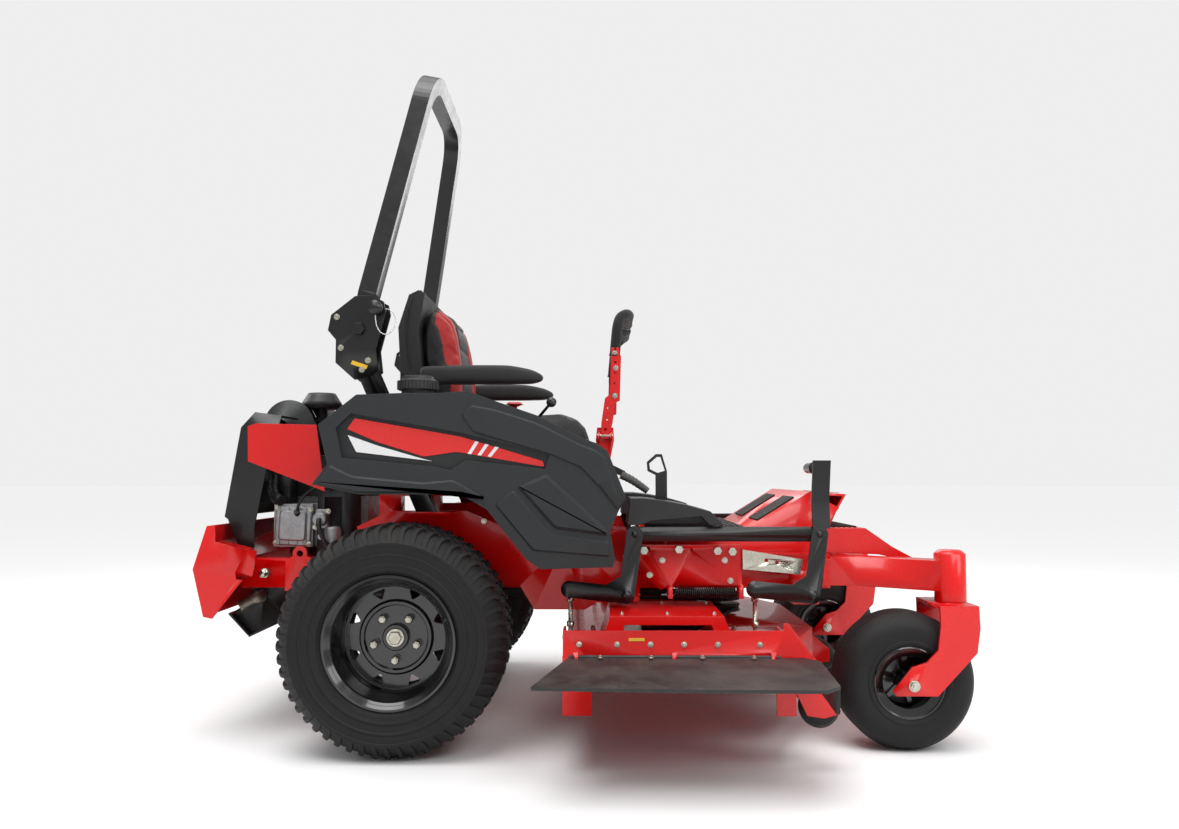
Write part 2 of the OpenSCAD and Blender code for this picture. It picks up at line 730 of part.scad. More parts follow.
module rops_hoop() color([0.06, 0.06, 0.06]) {
    rise = (hoop_top_z - hoop_pivot[1]) / cos(hoop_lean);
    half = hoop_tube / 2;
    start = 100;
    slope_len = sqrt(1 + hoop_taper * hoop_taper);
    centre_v = rise - half - hoop_bend_r;
    line_y = hoop_y + hoop_taper * start - hoop_bend_r * slope_len;
    trap = [
        [-line_y, 0], [line_y, 0],
        [line_y - hoop_taper * centre_v, centre_v], [-line_y + hoop_taper * centre_v, centre_v]
    ];
    translate([hoop_pivot[0], 0, hoop_pivot[1]]) rotate([0, hoop_lean, 0]) {
        rotate([90, 0, 90]) translate([0, 0, -half]) linear_extrude(hoop_tube)
            difference() {
                offset(r = hoop_bend_r + half, $fn = 64) polygon(trap);
                offset(r = hoop_bend_r - half, $fn = 64) polygon(trap);
                translate([-600, -400]) square([1200, 400 + start]);
            }
        both_sides() {
            block([-half, -hoop_y - half, -12], [half, -hoop_y + half, start + 6]);
            bar_y([0, -12], half, -hoop_y - half, -hoop_y + half);
        }
    }
    both_sides() {
        bar_y(hoop_pivot, hoop_pin_d / 2, -hoop_y - plate_in - plate_t - 8,
            -hoop_y + plate_in + plate_t + 8);
        hex_y(hoop_pivot, 30, -hoop_y - plate_in - plate_t - 14, -hoop_y - plate_in - plate_t - 1);
        hex_y(hoop_pivot, 30, -hoop_y + plate_in + plate_t + 1, -hoop_y + plate_in + plate_t + 14);
    }
}

module rops_pin() color([0.1, 0.1, 0.1]) {
    outer = -hoop_y - plate_in - plate_t;
    bar_y(lock_pin, hoop_pin_d / 2, outer - 6, -hoop_y + plate_in + plate_t + 6);
    bar_y(lock_pin, 19, outer - 30, outer - 6);
}

// ---- controls ----

arm_pivot = [528, 590];
swing_pivot_z = 812;
lap_y = 290;

module control_arm() color([0.9, 0.08, 0.06]) {
    difference() {
        slab(-lap_y - 4, -lap_y + 4) polygon([
            [510, 584], [519, 574], [540, 574], [548, 584], [548, 740], [560, 800],
            [558, 836], [512, 836], [508, 800], [518, 740]
        ]);
        bar_y(arm_pivot, 8 + fit, -lap_y - 6, -lap_y + 6);
    }
    for (x = [514, 548])
        difference() {
            block([x, -lap_y - 20, swing_pivot_z - 14], [x + 6, -lap_y - 4, swing_pivot_z + 8]);
            bar_x(x - 1, x + 7, -lap_y - 12, swing_pivot_z, 5.05);
        }
}

grip_route = [
    [562, -lap_y - 2, 1061], [572, -lap_y + 6, 1150], [604, -lap_y + 40, 1166],
    [604, -60, 1166]
];

module lap_bar() {
    color([0.92, 0.08, 0.06]) {
        bar_x(512, 556, -lap_y - 12, swing_pivot_z, 5);
        bar_x(521, 547, -lap_y - 12, swing_pivot_z, 7);
        hull() {
            translate([533, -lap_y - 12, swing_pivot_z + 4]) cube([20, 14, 8], center = true);
            translate([544, -lap_y - 12, 850]) cube([26, 14, 14], center = true);
        }
        hull() {
            translate([544, -lap_y - 12, 850]) cube([24, 14, 8], center = true);
            translate([563, -lap_y - 2, 1058]) cube([22, 16, 8], center = true);
        }
    }
    color([0.05, 0.05, 0.05]) {
        for (i = [0:len(grip_route) - 2]) rod(grip_route[i], grip_route[i + 1], 17);
        for (p = grip_route) translate(p) sphere(r = 17.6);
    }
}

brake_pivot = [520, 734];
brake_y = 262;

module brake_lever() color([0.45, 0.46, 0.45]) {
    difference() {
        slab(-brake_y - 4, -brake_y + 4) union() {
            translate(brake_pivot) circle(r = 16);
            polygon([[516, 746], [524, 722], [588, 696], [592, 712]]);
        }
        bar_y(brake_pivot, 6 + fit, -brake_y - 6, -brake_y + 6);
    }
    slab(-brake_y - 14, -brake_y + 14)
        polygon([[589, 716], [662, 672], [658, 645], [640, 652], [618, 670], [580, 690]]);
}

throttle_pivot = [348, 852];
throttle_y = 400;

module throttle_lever() color([0.15, 0.15, 0.16]) {
    translate([throttle_pivot[0], -throttle_y, throttle_pivot[1]])
        rotate([0, 40, 0]) cylinder(r = 4, h = 56);
    translate([throttle_pivot[0] + 40, -throttle_y, throttle_pivot[1] + 48])
        sphere(r = 14);
}

pto_at = [288, 880];

module pto_knob() color([0.85, 0.08, 0.06]) {
    translate([pto_at[0], -throttle_y, pto_at[1] - 8]) cylinder(r = 7, h = 16);
    translate([pto_at[0], -throttle_y, pto_at[1] + 8]) cylinder(r1 = 10, r2 = 24, h = 6);
    translate([pto_at[0], -throttle_y, pto_at[1] + 14]) cylinder(r1 = 24, r2 = 18, h = 5);
}

lock_pivot = [690, 540];

module deck_lock_lever() color([0.1, 0.1, 0.1]) {
    outer = [
        [706, 530], [706, 712], [692, 760], [675, 760], [650, 738], [652, 713],
        [674, 702], [674, 530]
    ];
    inner = [[700, 714], [688, 752], [678, 752], [657, 734], [659, 718], [680, 708]];
    slab(-334, -326) difference() {
        union() {
            polygon(outer);
            translate(lock_pivot) circle(r = 20);
        }
        polygon(inner);
        translate(lock_pivot) circle(r = 6 + fit);
    }
}

// ---- deck lift ----

module crank_bores(p, y0, y1) {
    bar_y(p + link_arm, lift_pin_d / 2 + fit, y0 - 1, y1 + 1);
}

module rear_arm_2d(p) {
    strap_2d(p, p + link_arm, 44);
    strap_2d(p, p + hanger_arm, 44);
    polygon([p + [-22, 0], p + [0, 60], p + [-60, 24]]);
}

module lift_pedal() color([0.08, 0.08, 0.08]) {
    p = pivot_front;
    both_sides() difference() {
        slab(-crank_y - crank_t / 2, -crank_y + crank_t / 2) rear_arm_2d(p);
        crank_bores(p, -crank_y - crank_t, -crank_y + crank_t);
    }
    slab(-crank_y - crank_t / 2, -crank_y + crank_t / 2)
        polygon([[1084, 560], [1131, 560], [1129, 636], [1135, 741], [1088, 741], [1082, 636]]);
    bar_y([1112, 721], 15, -crank_y + crank_t / 2, -270);
    bar_y(p, 15, -crank_y + crank_t / 2, crank_y - crank_t / 2);
    both_sides() {
        hex_y(p, 26, -crank_y - crank_t / 2 - 10, -crank_y - crank_t / 2);
        bar_y(p + hanger_arm, lift_pin_d / 2, -crank_y + crank_t / 2, -hanger_y + 14);
    }
}

module rear_lift_crank() color([0.08, 0.08, 0.08]) {
    p = pivot_rear;
    both_sides() difference() {
        slab(-crank_y - crank_t / 2, -crank_y + crank_t / 2) rear_arm_2d(p);
        crank_bores(p, -crank_y - crank_t, -crank_y + crank_t);
    }
    bar_y(p, 15, -crank_y + crank_t / 2, crank_y - crank_t / 2);
    both_sides() {
        hex_y(p, 26, -crank_y - crank_t / 2 - 10, -crank_y - crank_t / 2);
        bar_y(p + hanger_arm, lift_pin_d / 2, -crank_y + crank_t / 2, -hanger_y + 14);
    }
}

module lift_links() color([0.06, 0.06, 0.06]) {
    a = pivot_rear + link_arm;
    b = pivot_front + link_arm;
    y1 = -crank_y + crank_t / 2 + 1;
    both_sides() {
        slab(y1, y1 + 6) strap_2d(a, b, 39);
        bar_y(a, lift_pin_d / 2, -crank_y - crank_t / 2 - 2, y1);
        bar_y(b, lift_pin_d / 2, -crank_y - crank_t / 2 - 2, y1);
    }
}

// ---- deck ----

module deck_shell() color([0.9, 0.05, 0.04]) {
    wall_low = deck_low_z;
    difference() {
        translate([0, 0, wall_low]) linear_extrude(deck_top_z - wall_low)
            polygon(deck_outline(0));
        translate([0, 0, wall_low - 1]) linear_extrude(deck_top_z - deck_t - wall_low + 1)
            polygon(deck_outline(deck_t));
        block([500, -deck_right_y - 2, wall_low - 2],
            [938, -deck_right_y + deck_t + 2, deck_top_z - deck_t]);
        for (p = spindle_points)
            translate([p[0], p[1], deck_top_z - 20]) cylinder(r = 42, h = 40);
    }
    for (p = spindle_points)
        translate([p[0], p[1], deck_top_z - 60]) difference() {
            union() {
                cylinder(r = 38, h = 74);
                translate([0, 0, 60]) cylinder(r = 62, h = 6);
            }
            translate([0, 0, -1]) cylinder(r = 15 + fit, h = 90);
        }
    block([431, -deck_right_y, deck_top_z - 1], [957, -deck_right_y + 5, 332]);
    block([431, -deck_right_y + 4, deck_top_z - 1], [437, -deck_right_y + 70, 332]);
    block([951, -deck_right_y + 4, deck_top_z - 1], [957, -deck_right_y + 70, 332]);
    for (x = hinge_knuckles)
        difference() {
            block([x, -hinge_y - 7, 258], [x + 12, -deck_right_y + 2, 282]);
            bar_x(x - 1, x + 13, -hinge_y, hinge_z, 5 + fit);
        }
    for (s = [-1, 1])
        on_side(s) roller_arms(s < 0 ? deck_right_y : deck_left_y);
    both_sides() slab(-64, -58) polygon([
        [1090, deck_top_z - 1], [1105, deck_top_z - 1], [1212, 178], [1212, 140],
        [1178, 136], [1118, 200]
    ]);
    bar_y([1190, 152], 8, -64, 64);
}

hinge_knuckles = [456, 690, 924];

// The two arms that hold a front corner's roller
module roller_arms(edge) {
    slab(-edge, -edge + 5) polygon([
        [957, deck_top_z - 8], [957, 350], [968, 350], [1085, 196], [1085, 138],
        [1050, 128], [1010, 134], [corner_x - 6, 200]
    ]);
    slab(-edge + 17 + roller_w, -edge + 22 + roller_w) polygon([
        [corner_x - 3, 250], [1010, 250], [1064, 170], [1060, 134], [1030, 130],
        [corner_x - 3, 180]
    ]);
    bar_y(roller_at, 8, -edge, -edge + 22 + roller_w);
}

spindle_points = [
    [spindle_x, -spindle_y], [spindle_x + spindle_lead, 0], [spindle_x, spindle_y]
];

module belt_covers() color([0.95, 0.1, 0.08]) {
    for (s = [-1, 1])
        on_side(s) difference() {
            slab(-570, -290)
                polygon([[520, deck_top_z], [545, 350], [830, 350], [862, deck_top_z]]);
            slab(-564, -280) polygon([
                [526, deck_top_z - 1], [549, 344], [826, 344], [856, deck_top_z - 1]
            ]);
            slab(-580, -540)
                polygon([[577, deck_top_z - 1], [580, 328], [799, 328], [815, deck_top_z - 1]]);
        }
}

module deck_hangers() color([0.7, 0.7, 0.68]) {
    for (p = [pivot_rear + hanger_arm, pivot_front + hanger_arm])
        both_sides() {
            y1 = -hanger_y + 2;
            slab(y1, y1 + 8) difference() {
                strap_2d(p - [4, 0], p + [14, 0], lift_pin_d + 14);
                strap_2d(p - [3, 0], p + [13, 0], lift_pin_d + 3);
            }
            translate([p[0] + 3, y1 + 4, deck_top_z + 8])
                cylinder(r = 6, h = p[1] - deck_top_z - 22);
            translate([p[0] + 3, y1 + 4, deck_top_z + 30]) cylinder(r = 10, h = 14, $fn = 6);
            translate([p[0] + 3, y1 + 4, p[1] - 34]) cylinder(r = 10, h = 12, $fn = 6);
            block([p[0] - 18, y1 - 14, deck_top_z], [p[0] + 24, y1 + 22, deck_top_z + 8]);
        }
}

module deflector() color([0.05, 0.05, 0.05]) {
    t = 8;
    translate([0, -hinge_y, hinge_z]) rotate([deflector_drop, 0, 0]) difference() {
        union() {
            translate([0, 0, -t]) linear_extrude(t) polygon([
                [445, -1], [1004, -1], [1034, -30], [1034, -deflector_w + 30],
                [1000, -deflector_w], [660, -deflector_w + 4], [372, -deflector_w + 16]
            ]);
            block([1026, -deflector_w + 30, -62], [1034, -30, -t + 1]);
        }
        for (x = hinge_knuckles)
            block([x - 2, -13, -20], [x + 14, 5, 20]);
    }
    bar_x(445, 945, -hinge_y, hinge_z, 5);
}

module spindle(p, driven) {
    top = driven ? engine_belt_z + 14 : deck_belt_z + 14;
    color([0.4, 0.4, 0.42]) {
        translate([p[0], p[1], blade_z - 8]) cylinder(r = 15, h = top - blade_z + 8);
        translate([p[0], p[1], blade_z - 16]) cylinder(r = 18, h = 8);
        translate([p[0], p[1], blade_z + 6]) cylinder(r = 30, h = 10);
        pulley(p, deck_belt_z);
        if (driven) pulley(p, engine_belt_z);
    }
    color([0.6, 0.6, 0.6]) difference() {
        translate([p[0] - blade_l / 2, p[1] - 32, blade_z]) cube([blade_l, 64, 6]);
        for (s = [-1, 1])
            translate([p[0] + s * blade_l / 2.6, p[1] + s * 40, blade_z - 1])
                cube([blade_l / 3, 34, 12], center = true);
    }
}

belt_r = 60;
belt_w = 9;
deck_belt_z = 296;
engine_belt_z = 330;

module belt_loop(points, z) {
    translate([0, 0, z - belt_w / 2]) linear_extrude(belt_w) difference() {
        hull() for (p = points) translate(p) circle(r = belt_r + belt_w);
        hull() for (p = points) translate(p) circle(r = belt_r);
    }
}

module deck_belt() color([0.1, 0.1, 0.1]) belt_loop(spindle_points, deck_belt_z);

module engine_belt() color([0.1, 0.1, 0.1])
    belt_loop([[engine_x, 0], spindle_points[1]], engine_belt_z);

// A grooved pulley whose belt runs at height z
module pulley(p, z) {
    difference() {
        translate([p[0], p[1], z - 10]) cylinder(r = belt_r + 12, h = 20);
        translate([p[0], p[1], z - 6]) rotate_extrude()
            translate([belt_r - gap, 0]) square([20, 12]);
    }
}

module engine_pulley() color([0.45, 0.4, 0.3]) {
    difference() {
        union() {
            pulley([engine_x, 0], engine_belt_z);
            translate([engine_x, 0, engine_belt_z + 10]) cylinder(r = 40, h = 3);
            translate([engine_x, 0, engine_belt_z + 13]) cylinder(r = 62, h = 34);
        }
        translate([engine_x, 0, 290]) cylinder(r = 14 + fit, h = 100);
    }
}

module roller(p, y0, y1) color([0.07, 0.07, 0.07]) {
    w = y1 - y0;
    translate([p[0], y1, p[1]]) rotate([90, 0, 0]) rotate_extrude($fn = 64) polygon([
        [8 + fit, 0], [36, 0], [46, 12], [48, w / 2], [46, w - 12], [36, w], [8 + fit, w]
    ]);
}

// ---- seat ----

seat_low_z = 770;
seat_hinge = [420, 724];

module seat_base() color([0.12, 0.12, 0.12]) {
    block([90, -160, 676.4], [430, 160, 700]);
    both_sides() block([90, -160, 656], [430, -150.4, 677]);
    block([410, -170, 699], [430, 170, 744]);
    bar_y(seat_hinge, 6, -198, 198);
}

module seat_shell() color([0.09, 0.09, 0.09]) {
    half = seat_w / 2 + 6;
    back = [
        [-66, 1130], [-36, 1226], [-8, 1240], [10, 1230], [-6, 1120], [14, 900],
        [20, seat_low_z - 1], [-20, seat_low_z - 1], [-52, 900]
    ];
    slab(-half, half) polygon(back);
    block([-20, -half, seat_low_z - 16], [480, half, seat_low_z]);
    both_sides() {
        difference() {
            block([406, -196, 712], [434, -176, seat_low_z - 15]);
            bar_y(seat_hinge, 6 + fit, -200, -170);
        }
        difference() {
            block([-44, -half - 14, 950], [56, -half + 1, 1006]);
            bar_y(armrest_pivot, 8 + fit, -half - 20, -half);
        }
    }
}

module seat_cushion() color([0.08, 0.08, 0.08]) {
    half = seat_w / 2;
    slab(-half, half) polygon([
        [24, seat_low_z], [24, seat_low_z + cushion_t + 10], [200, seat_low_z + cushion_t],
        [400, seat_low_z + cushion_t + 6], [470, seat_low_z + cushion_t - 4],
        [505, seat_low_z + cushion_t - 40], [500, seat_low_z]
    ]);
}

module back_cushion() color([0.09, 0.09, 0.09]) {
    half = seat_w / 2 - 8;
    low = seat_low_z + cushion_t + 16;
    slab(-half, half) polygon([
        [15.4, low], [14.3, 900], [-5.7, 1120], [9.2, 1222], [26, 1226], [60, 1180], [86, 1110],
        [100, 1020], [106, low]
    ]);
}

armrest_pivot = [28, 980];

module armrest() color([0.07, 0.07, 0.07]) {
    y0 = -seat_w / 2 - 22;
    bar_y(armrest_pivot, 8, y0 - 50, -seat_w / 2 - 7);
    slab(y0 - 58, y0 - 2) polygon([
        [6, 958], [30, 950], [80, 966], [armrest_l, 968], [armrest_l + 22, 984],
        [armrest_l + 16, 996], [200, 1012], [60, 1008], [10, 1002]
    ]);
}

// ---- nodes ----

placed() main_frame();
placed() front_arms();
placed() rear_bumper();
placed() engine_guards();
placed() muffler();
placed() engine_block();
placed() engine_shroud();
placed() air_cleaner();
placed() transaxles();
placed() on_side(-1) fuel_tank(true);  // fuel_tank_right
placed() on_side(1) fuel_tank(false);  // fuel_tank_left
placed() on_side(-1) fuel_cap();  // fuel_cap_right
placed() on_side(1) fuel_cap();  // fuel_cap_left
placed() front_covers();
placed() rops_uprights();
placed() foot_plate();
placed() zinc_hardware();
placed() lift_spring();
placed() pin_lanyard();
placed() on_side(-1) rear_rim();  // rear_rim_right
placed() on_side(1) rear_rim();  // rear_rim_left
placed() on_side(-1) rear_tyre();  // rear_tyre_right
placed() on_side(1) rear_tyre();  // rear_tyre_left
placed() on_side(-1) caster_fork();  // caster_fork_right
placed() on_side(1) caster_fork();  // caster_fork_left
placed() on_side(-1) caster_wheel();  // caster_wheel_right
placed() on_side(1) caster_wheel();  // caster_wheel_left
placed() rops_hoop();
placed() on_side(-1) rops_pin();  // rops_pin_right
placed() on_side(1) rops_pin();  // rops_pin_left
placed() on_side(-1) control_arm();  // control_arm_right
placed() on_side(1) control_arm();  // control_arm_left
placed() on_side(-1) lap_bar();  // lap_bar_right
placed() on_side(1) lap_bar();  // lap_bar_left
placed() brake_lever();
placed() throttle_lever();
placed() pto_knob();
placed() deck_lock_lever();
placed() lift_pedal();
placed() rear_lift_crank();
placed() lift_links();
placed() deck_shell();
placed() belt_covers();
placed() deck_hangers();
placed() deflector();
placed() spindle(spindle_points[0], false);  // spindle_right
placed() spindle(spindle_points[1], true);  // spindle_middle
placed() spindle(spindle_points[2], false);  // spindle_left
placed() deck_belt();
placed() engine_belt();
placed() engine_pulley();
placed()  // roller_right
    roller(roller_at, -deck_right_y + 11, -deck_right_y + 11 + roller_w);
placed() roller([1190, 152], -54, 54);  // roller_middle
placed()  // roller_left
    roller(roller_at, deck_left_y - 11 - roller_w, deck_left_y - 11);
placed() seat_base();
placed() seat_shell();
placed() seat_cushion();
placed() back_cushion();
placed() on_side(-1) armrest();  // armrest_right
placed() on_side(1) armrest();  // armrest_left
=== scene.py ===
"""Zero turn mower: finishes, tyres, seat, bodywork, controls and engine trim."""

import json
import math

import bmesh
import bpy
from mathutils import Matrix, Vector


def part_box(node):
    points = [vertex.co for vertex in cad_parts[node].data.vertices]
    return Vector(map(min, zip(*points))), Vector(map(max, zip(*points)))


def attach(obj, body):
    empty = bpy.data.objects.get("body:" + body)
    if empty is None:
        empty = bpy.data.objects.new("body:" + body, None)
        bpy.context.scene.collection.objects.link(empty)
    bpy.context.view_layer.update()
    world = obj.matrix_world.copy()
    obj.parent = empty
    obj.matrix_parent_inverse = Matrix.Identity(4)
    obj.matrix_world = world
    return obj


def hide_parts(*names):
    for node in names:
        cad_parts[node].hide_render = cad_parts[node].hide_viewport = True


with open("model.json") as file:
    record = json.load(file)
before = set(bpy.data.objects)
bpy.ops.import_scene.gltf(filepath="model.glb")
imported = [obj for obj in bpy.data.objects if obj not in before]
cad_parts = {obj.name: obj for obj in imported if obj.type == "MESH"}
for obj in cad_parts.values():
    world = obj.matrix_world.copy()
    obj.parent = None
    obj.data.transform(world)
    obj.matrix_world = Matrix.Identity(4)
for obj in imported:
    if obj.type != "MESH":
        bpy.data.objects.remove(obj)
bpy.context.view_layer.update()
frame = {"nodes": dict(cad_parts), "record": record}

bl_info = {
    "name": "Zero Turn Mower",
    "version": (1, 0, 0),
    "blender": (4, 5, 0),
    "location": "View3D > Sidebar > Mower",
    "description": "Finishes and trim of a zero turn mower with a folding roll bar",
    "category": "Object",
}

# ---- where things are ----

RIGHT_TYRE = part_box("rear_tyre_right")
LEFT_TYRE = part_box("rear_tyre_left")
AXLE = Vector((
    (RIGHT_TYRE[0].x + RIGHT_TYRE[1].x) / 2,
    (RIGHT_TYRE[0].y + LEFT_TYRE[1].y) / 2,
    (RIGHT_TYRE[0].z + RIGHT_TYRE[1].z) / 2,
))
SIDES = (("right", -1), ("left", 1))

# Millimetres from the machine's middle, or from the ground or the axle
TYRE_MID = 501.5
RIM_HALF = 133.5
RIM_LIP = 166
RIM_BEAD = 152.5
AXLE_HIGH = 290
LUG_RADIUS = 57.15
TANK_FACE = 520
CASTER_AXLE = (1306, 175)


def place(p):
    """A point in millimetres from the rear axle's middle on the ground, in the frame's metres."""
    return Vector((p[0] / 1000 + AXLE.x, p[1] / 1000 + AXLE.y, p[2] / 1000))


def unplace(p):
    """The millimetre point of a point in the frame's metres."""
    return Vector(((p.x - AXLE.x) * 1000, (p.y - AXLE.y) * 1000, p.z * 1000))


def body_name(node):
    """The body that a node rides on."""
    for name, members in frame["record"]["behaviour"]["bodies"].items():
        if node in members:
            return name
    raise RuntimeError("no body has the node " + node)


def linear(red, green, blue):
    """A display colour, 0 to 255, as linear values."""
    def one(v):
        v /= 255
        return v / 12.92 if v <= 0.04045 else ((v + 0.055) / 1.055) ** 2.4
    return (one(red), one(green), one(blue))


# ---- outlines and routes ----

def flow(points, steps=6):
    """A smooth run through the points."""
    pts = [Vector(p) for p in points]
    out = []
    for i in range(len(pts) - 1):
        a = pts[max(i - 1, 0)]
        b, c = pts[i], pts[i + 1]
        d = pts[min(i + 2, len(pts) - 1)]
        for k in range(steps):
            t = k / steps
            out.append(0.5 * (2 * b + (c - a) * t + (2 * a - 5 * b + 4 * c - d) * t * t
                              + (3 * b - a - 3 * c + d) * t ** 3))
    out.append(pts[-1])
    return out


def inset(outline, distance):
    """The outline moved inwards by distance."""
    pts = [Vector(p) for p in outline]
    area = sum(a.x * b.y - b.x * a.y for a, b in zip(pts, pts[1:] + pts[:1]))
    turn = 1 if area > 0 else -1
    out = []
    for i, p in enumerate(pts):
        a = (p - pts[i - 1]).normalized()
        b = (pts[(i + 1) % len(pts)] - p).normalized()
        na, nb = Vector((-a.y, a.x)) * turn, Vector((-b.y, b.x)) * turn
        mid = na + nb
        size = max(mid.length_squared / 2, 0.35)
        out.append(p + mid * distance / size)
    return out


def rounded(outline, radius, steps=4):
    """The outline with its corners rounded."""
    pts = [Vector(p) for p in outline]
    out = []
    for i, p in enumerate(pts):
        a, b = pts[i - 1] - p, pts[(i + 1) % len(pts)] - p
        r = min(radius, a.length * 0.45, b.length * 0.45)
        start, end = p + a.normalized() * r, p + b.normalized() * r
        for k in range(steps + 1):
            t = k / steps
            out.append(start * (1 - t) ** 2 + p * 2 * t * (1 - t) + end * t * t)
    return out


class Form:
    """Gathers the faces of one piece, in millimetres."""

    def __init__(self):
        self.points, self.faces, self.finishes = [], [], []

    def add(self, points, faces, finish=0):
        base = len(self.points)
        self.points += [Vector(p) for p in points]
        self.faces += [[base + i for i in f] for f in faces]
        self.finishes += [finish] * len(faces)
        return self

    def slab(self, outline, y0, y1, finish=0, chamfer=0.0):
        """An outline in X and Z as thick as y0 to y1; the y0 face's edge may be chamfered."""
        n = len(outline)
        rings = [(outline, y1), (outline, y0)]
        if chamfer:
            step = chamfer if y1 > y0 else -chamfer
            rings = [(outline, y1), (outline, y0 + step), (inset(outline, chamfer), y0)]
        pts = [(p[0], y, p[1]) for ring, y in rings for p in ring]
        faces = [list(range(n))[::-1], [(len(rings) - 1) * n + i for i in range(n)]]
        for k in range(len(rings) - 1):
            faces += [[k * n + i, k * n + (i + 1) % n, (k + 1) * n + (i + 1) % n,
                       (k + 1) * n + i] for i in range(n)]
        return self.add(pts, faces, finish)

    def block(self, a, b, finish=0):
        return self.slab([(a[0], a[2]), (b[0], a[2]), (b[0], b[2]), (a[0], b[2])],
                         a[1], b[1], finish)

    def plate(self, outline, holes, y0, y1, finish=0):
        """A plate with holes through it; a hole is (x, z, radius) or an outline."""
        bm = bmesh.new()
        rims = [[Vector(p) for p in outline]]
        for hole in holes:
            if len(hole) == 3 and not hasattr(hole[0], "__len__"):
                hole = [(hole[0] + hole[2] * math.cos(a * math.pi / 10),
                         hole[1] + hole[2] * math.sin(a * math.pi / 10)) for a in range(20)]
            rims.append([Vector(p) for p in hole])
        for rim in rims:
            vs = [bm.verts.new((p[0], 0, p[1])) for p in rim]
            for i, v in enumerate(vs):
                bm.edges.new((v, vs[(i + 1) % len(vs)]))
        bmesh.ops.triangle_fill(bm, edges=bm.edges[:], use_beauty=True, use_dissolve=False)
        bm.verts.index_update()
        flat = [v.co.copy() for v in bm.verts]
        tris = [[v.index for v in f.verts] for f in bm.faces]
        bm.free()
        n = len(flat)
        pts = [(p.x, y, p.z) for y in (y0, y1) for p in flat]
        faces = tris + [[n + i for i in t[::-1]] for t in tris]
        start = 0
        for rim in rims:
            m = len(rim)
            faces += [[start + i, start + (i + 1) % m, n + start + (i + 1) % m, n + start + i]
                      for i in range(m)]
            start += m
        return self.add(pts, faces, finish)

    def lathe(self, profile, centre, axis="y", steps=96, finish=0, closed=True):
        """A profile of (radius, distance along the axis) turned about the axis at centre."""
        n = len(profile)
        pts = []
        for k in range(steps):
            a = 2 * math.pi * k / steps
            for r, d in profile:
                u, v = r * math.cos(a), r * math.sin(a)
                q = {"y": (u, d, v), "z": (u, v, d), "x": (d, u, v)}[axis]
                pts.append(Vector(q) + Vector(centre))
        faces = []
        for k in range(steps):
            m = (k + 1) % steps
            for i in range(n if closed else n - 1):
                j = (i + 1) % n
                faces.append([k * n + i, k * n + j, m * n + j, m * n + i])
        return self.add(pts, faces, finish)

    def tube(self, route, radius, sides=12, finish=0, squash=1.0):
        """A closed tube along a route; radius is a number or a function of 0 to 1."""
        route = [Vector(p) for p in route]
        n = len(route)
        ahead = [(route[min(i + 1, n - 1)] - route[max(i - 1, 0)]).normalized()
                 for i in range(n)]
        side = ahead[0].orthogonal().normalized()
        pts = []
        for i, p in enumerate(route):
            if i:
                side = ahead[i - 1].rotation_difference(ahead[i]) @ side
            up = ahead[i].cross(side)
            r = radius(i / (n - 1)) if callable(radius) else radius
            for k in range(sides):
                a = 2 * math.pi * k / sides
                pts.append(p + side * math.cos(a) * r + up * math.sin(a) * r * squash)
        faces = [list(range(sides))[::-1], [(n - 1) * sides + k for k in range(sides)]]
        for i in range(n - 1):
            faces += [[i * sides + k, i * sides + (k + 1) % sides,
                       (i + 1) * sides + (k + 1) % sides, (i + 1) * sides + k]
                      for k in range(sides)]
        return self.add(pts, faces, finish)

    def loft(self, rings, finish=0):
        """A closed skin through rings of the same number of points."""
        m = len(rings[0])
        pts = [p for ring in rings for p in ring]
        last = (len(rings) - 1) * m
        faces = [list(range(m))[::-1], [last + i for i in range(m)]]
        for k in range(len(rings) - 1):
            faces += [[k * m + i, k * m + (i + 1) % m, (k + 1) * m + (i + 1) % m,
                       (k + 1) * m + i] for i in range(m)]
        return self.add(pts, faces, finish)

    def mirrored(self):
        """The same form on the other side of the mower."""
        out = Form()
        out.points = [Vector((p.x, -p.y, p.z)) for p in self.points]
        out.faces = [f[::-1] for f in self.faces]
        out.finishes = list(self.finishes)
        return out

    def mesh(self, name="form", placed=True):
        """The gathered faces as a mesh with its faces outwards."""
        data = bpy.data.meshes.new(name)
        spots = [place(p) if placed else p / 1000 for p in self.points]
        data.from_pydata([tuple(p) for p in spots], [], self.faces)
        data.polygons.foreach_set("material_index", self.finishes)
        bm = bmesh.new()
        bm.from_mesh(data)
        bmesh.ops.remove_doubles(bm, verts=bm.verts, dist=1e-6)
        bmesh.ops.recalc_face_normals(bm, faces=bm.faces)
        bm.to_mesh(data)
        bm.free()
        return data


def joined(name, meshes):
    """Several meshes as one, with their materials kept."""
    out = bpy.data.meshes.new(name)
    finishes = []
    bm = bmesh.new()
    for data in meshes:
        slots = []
        for m in data.materials:
            if m not in finishes:
                finishes.append(m)
            slots.append(finishes.index(m))
        first = len(bm.faces)
        bm.from_mesh(data)
        bm.faces.ensure_lookup_table()
        for f in bm.faces[first:]:
            if slots:
                f.material_index = slots[min(f.material_index, len(slots) - 1)]
    bm.to_mesh(out)
    bm.free()
    for m in finishes:
        out.materials.append(m)
    return out


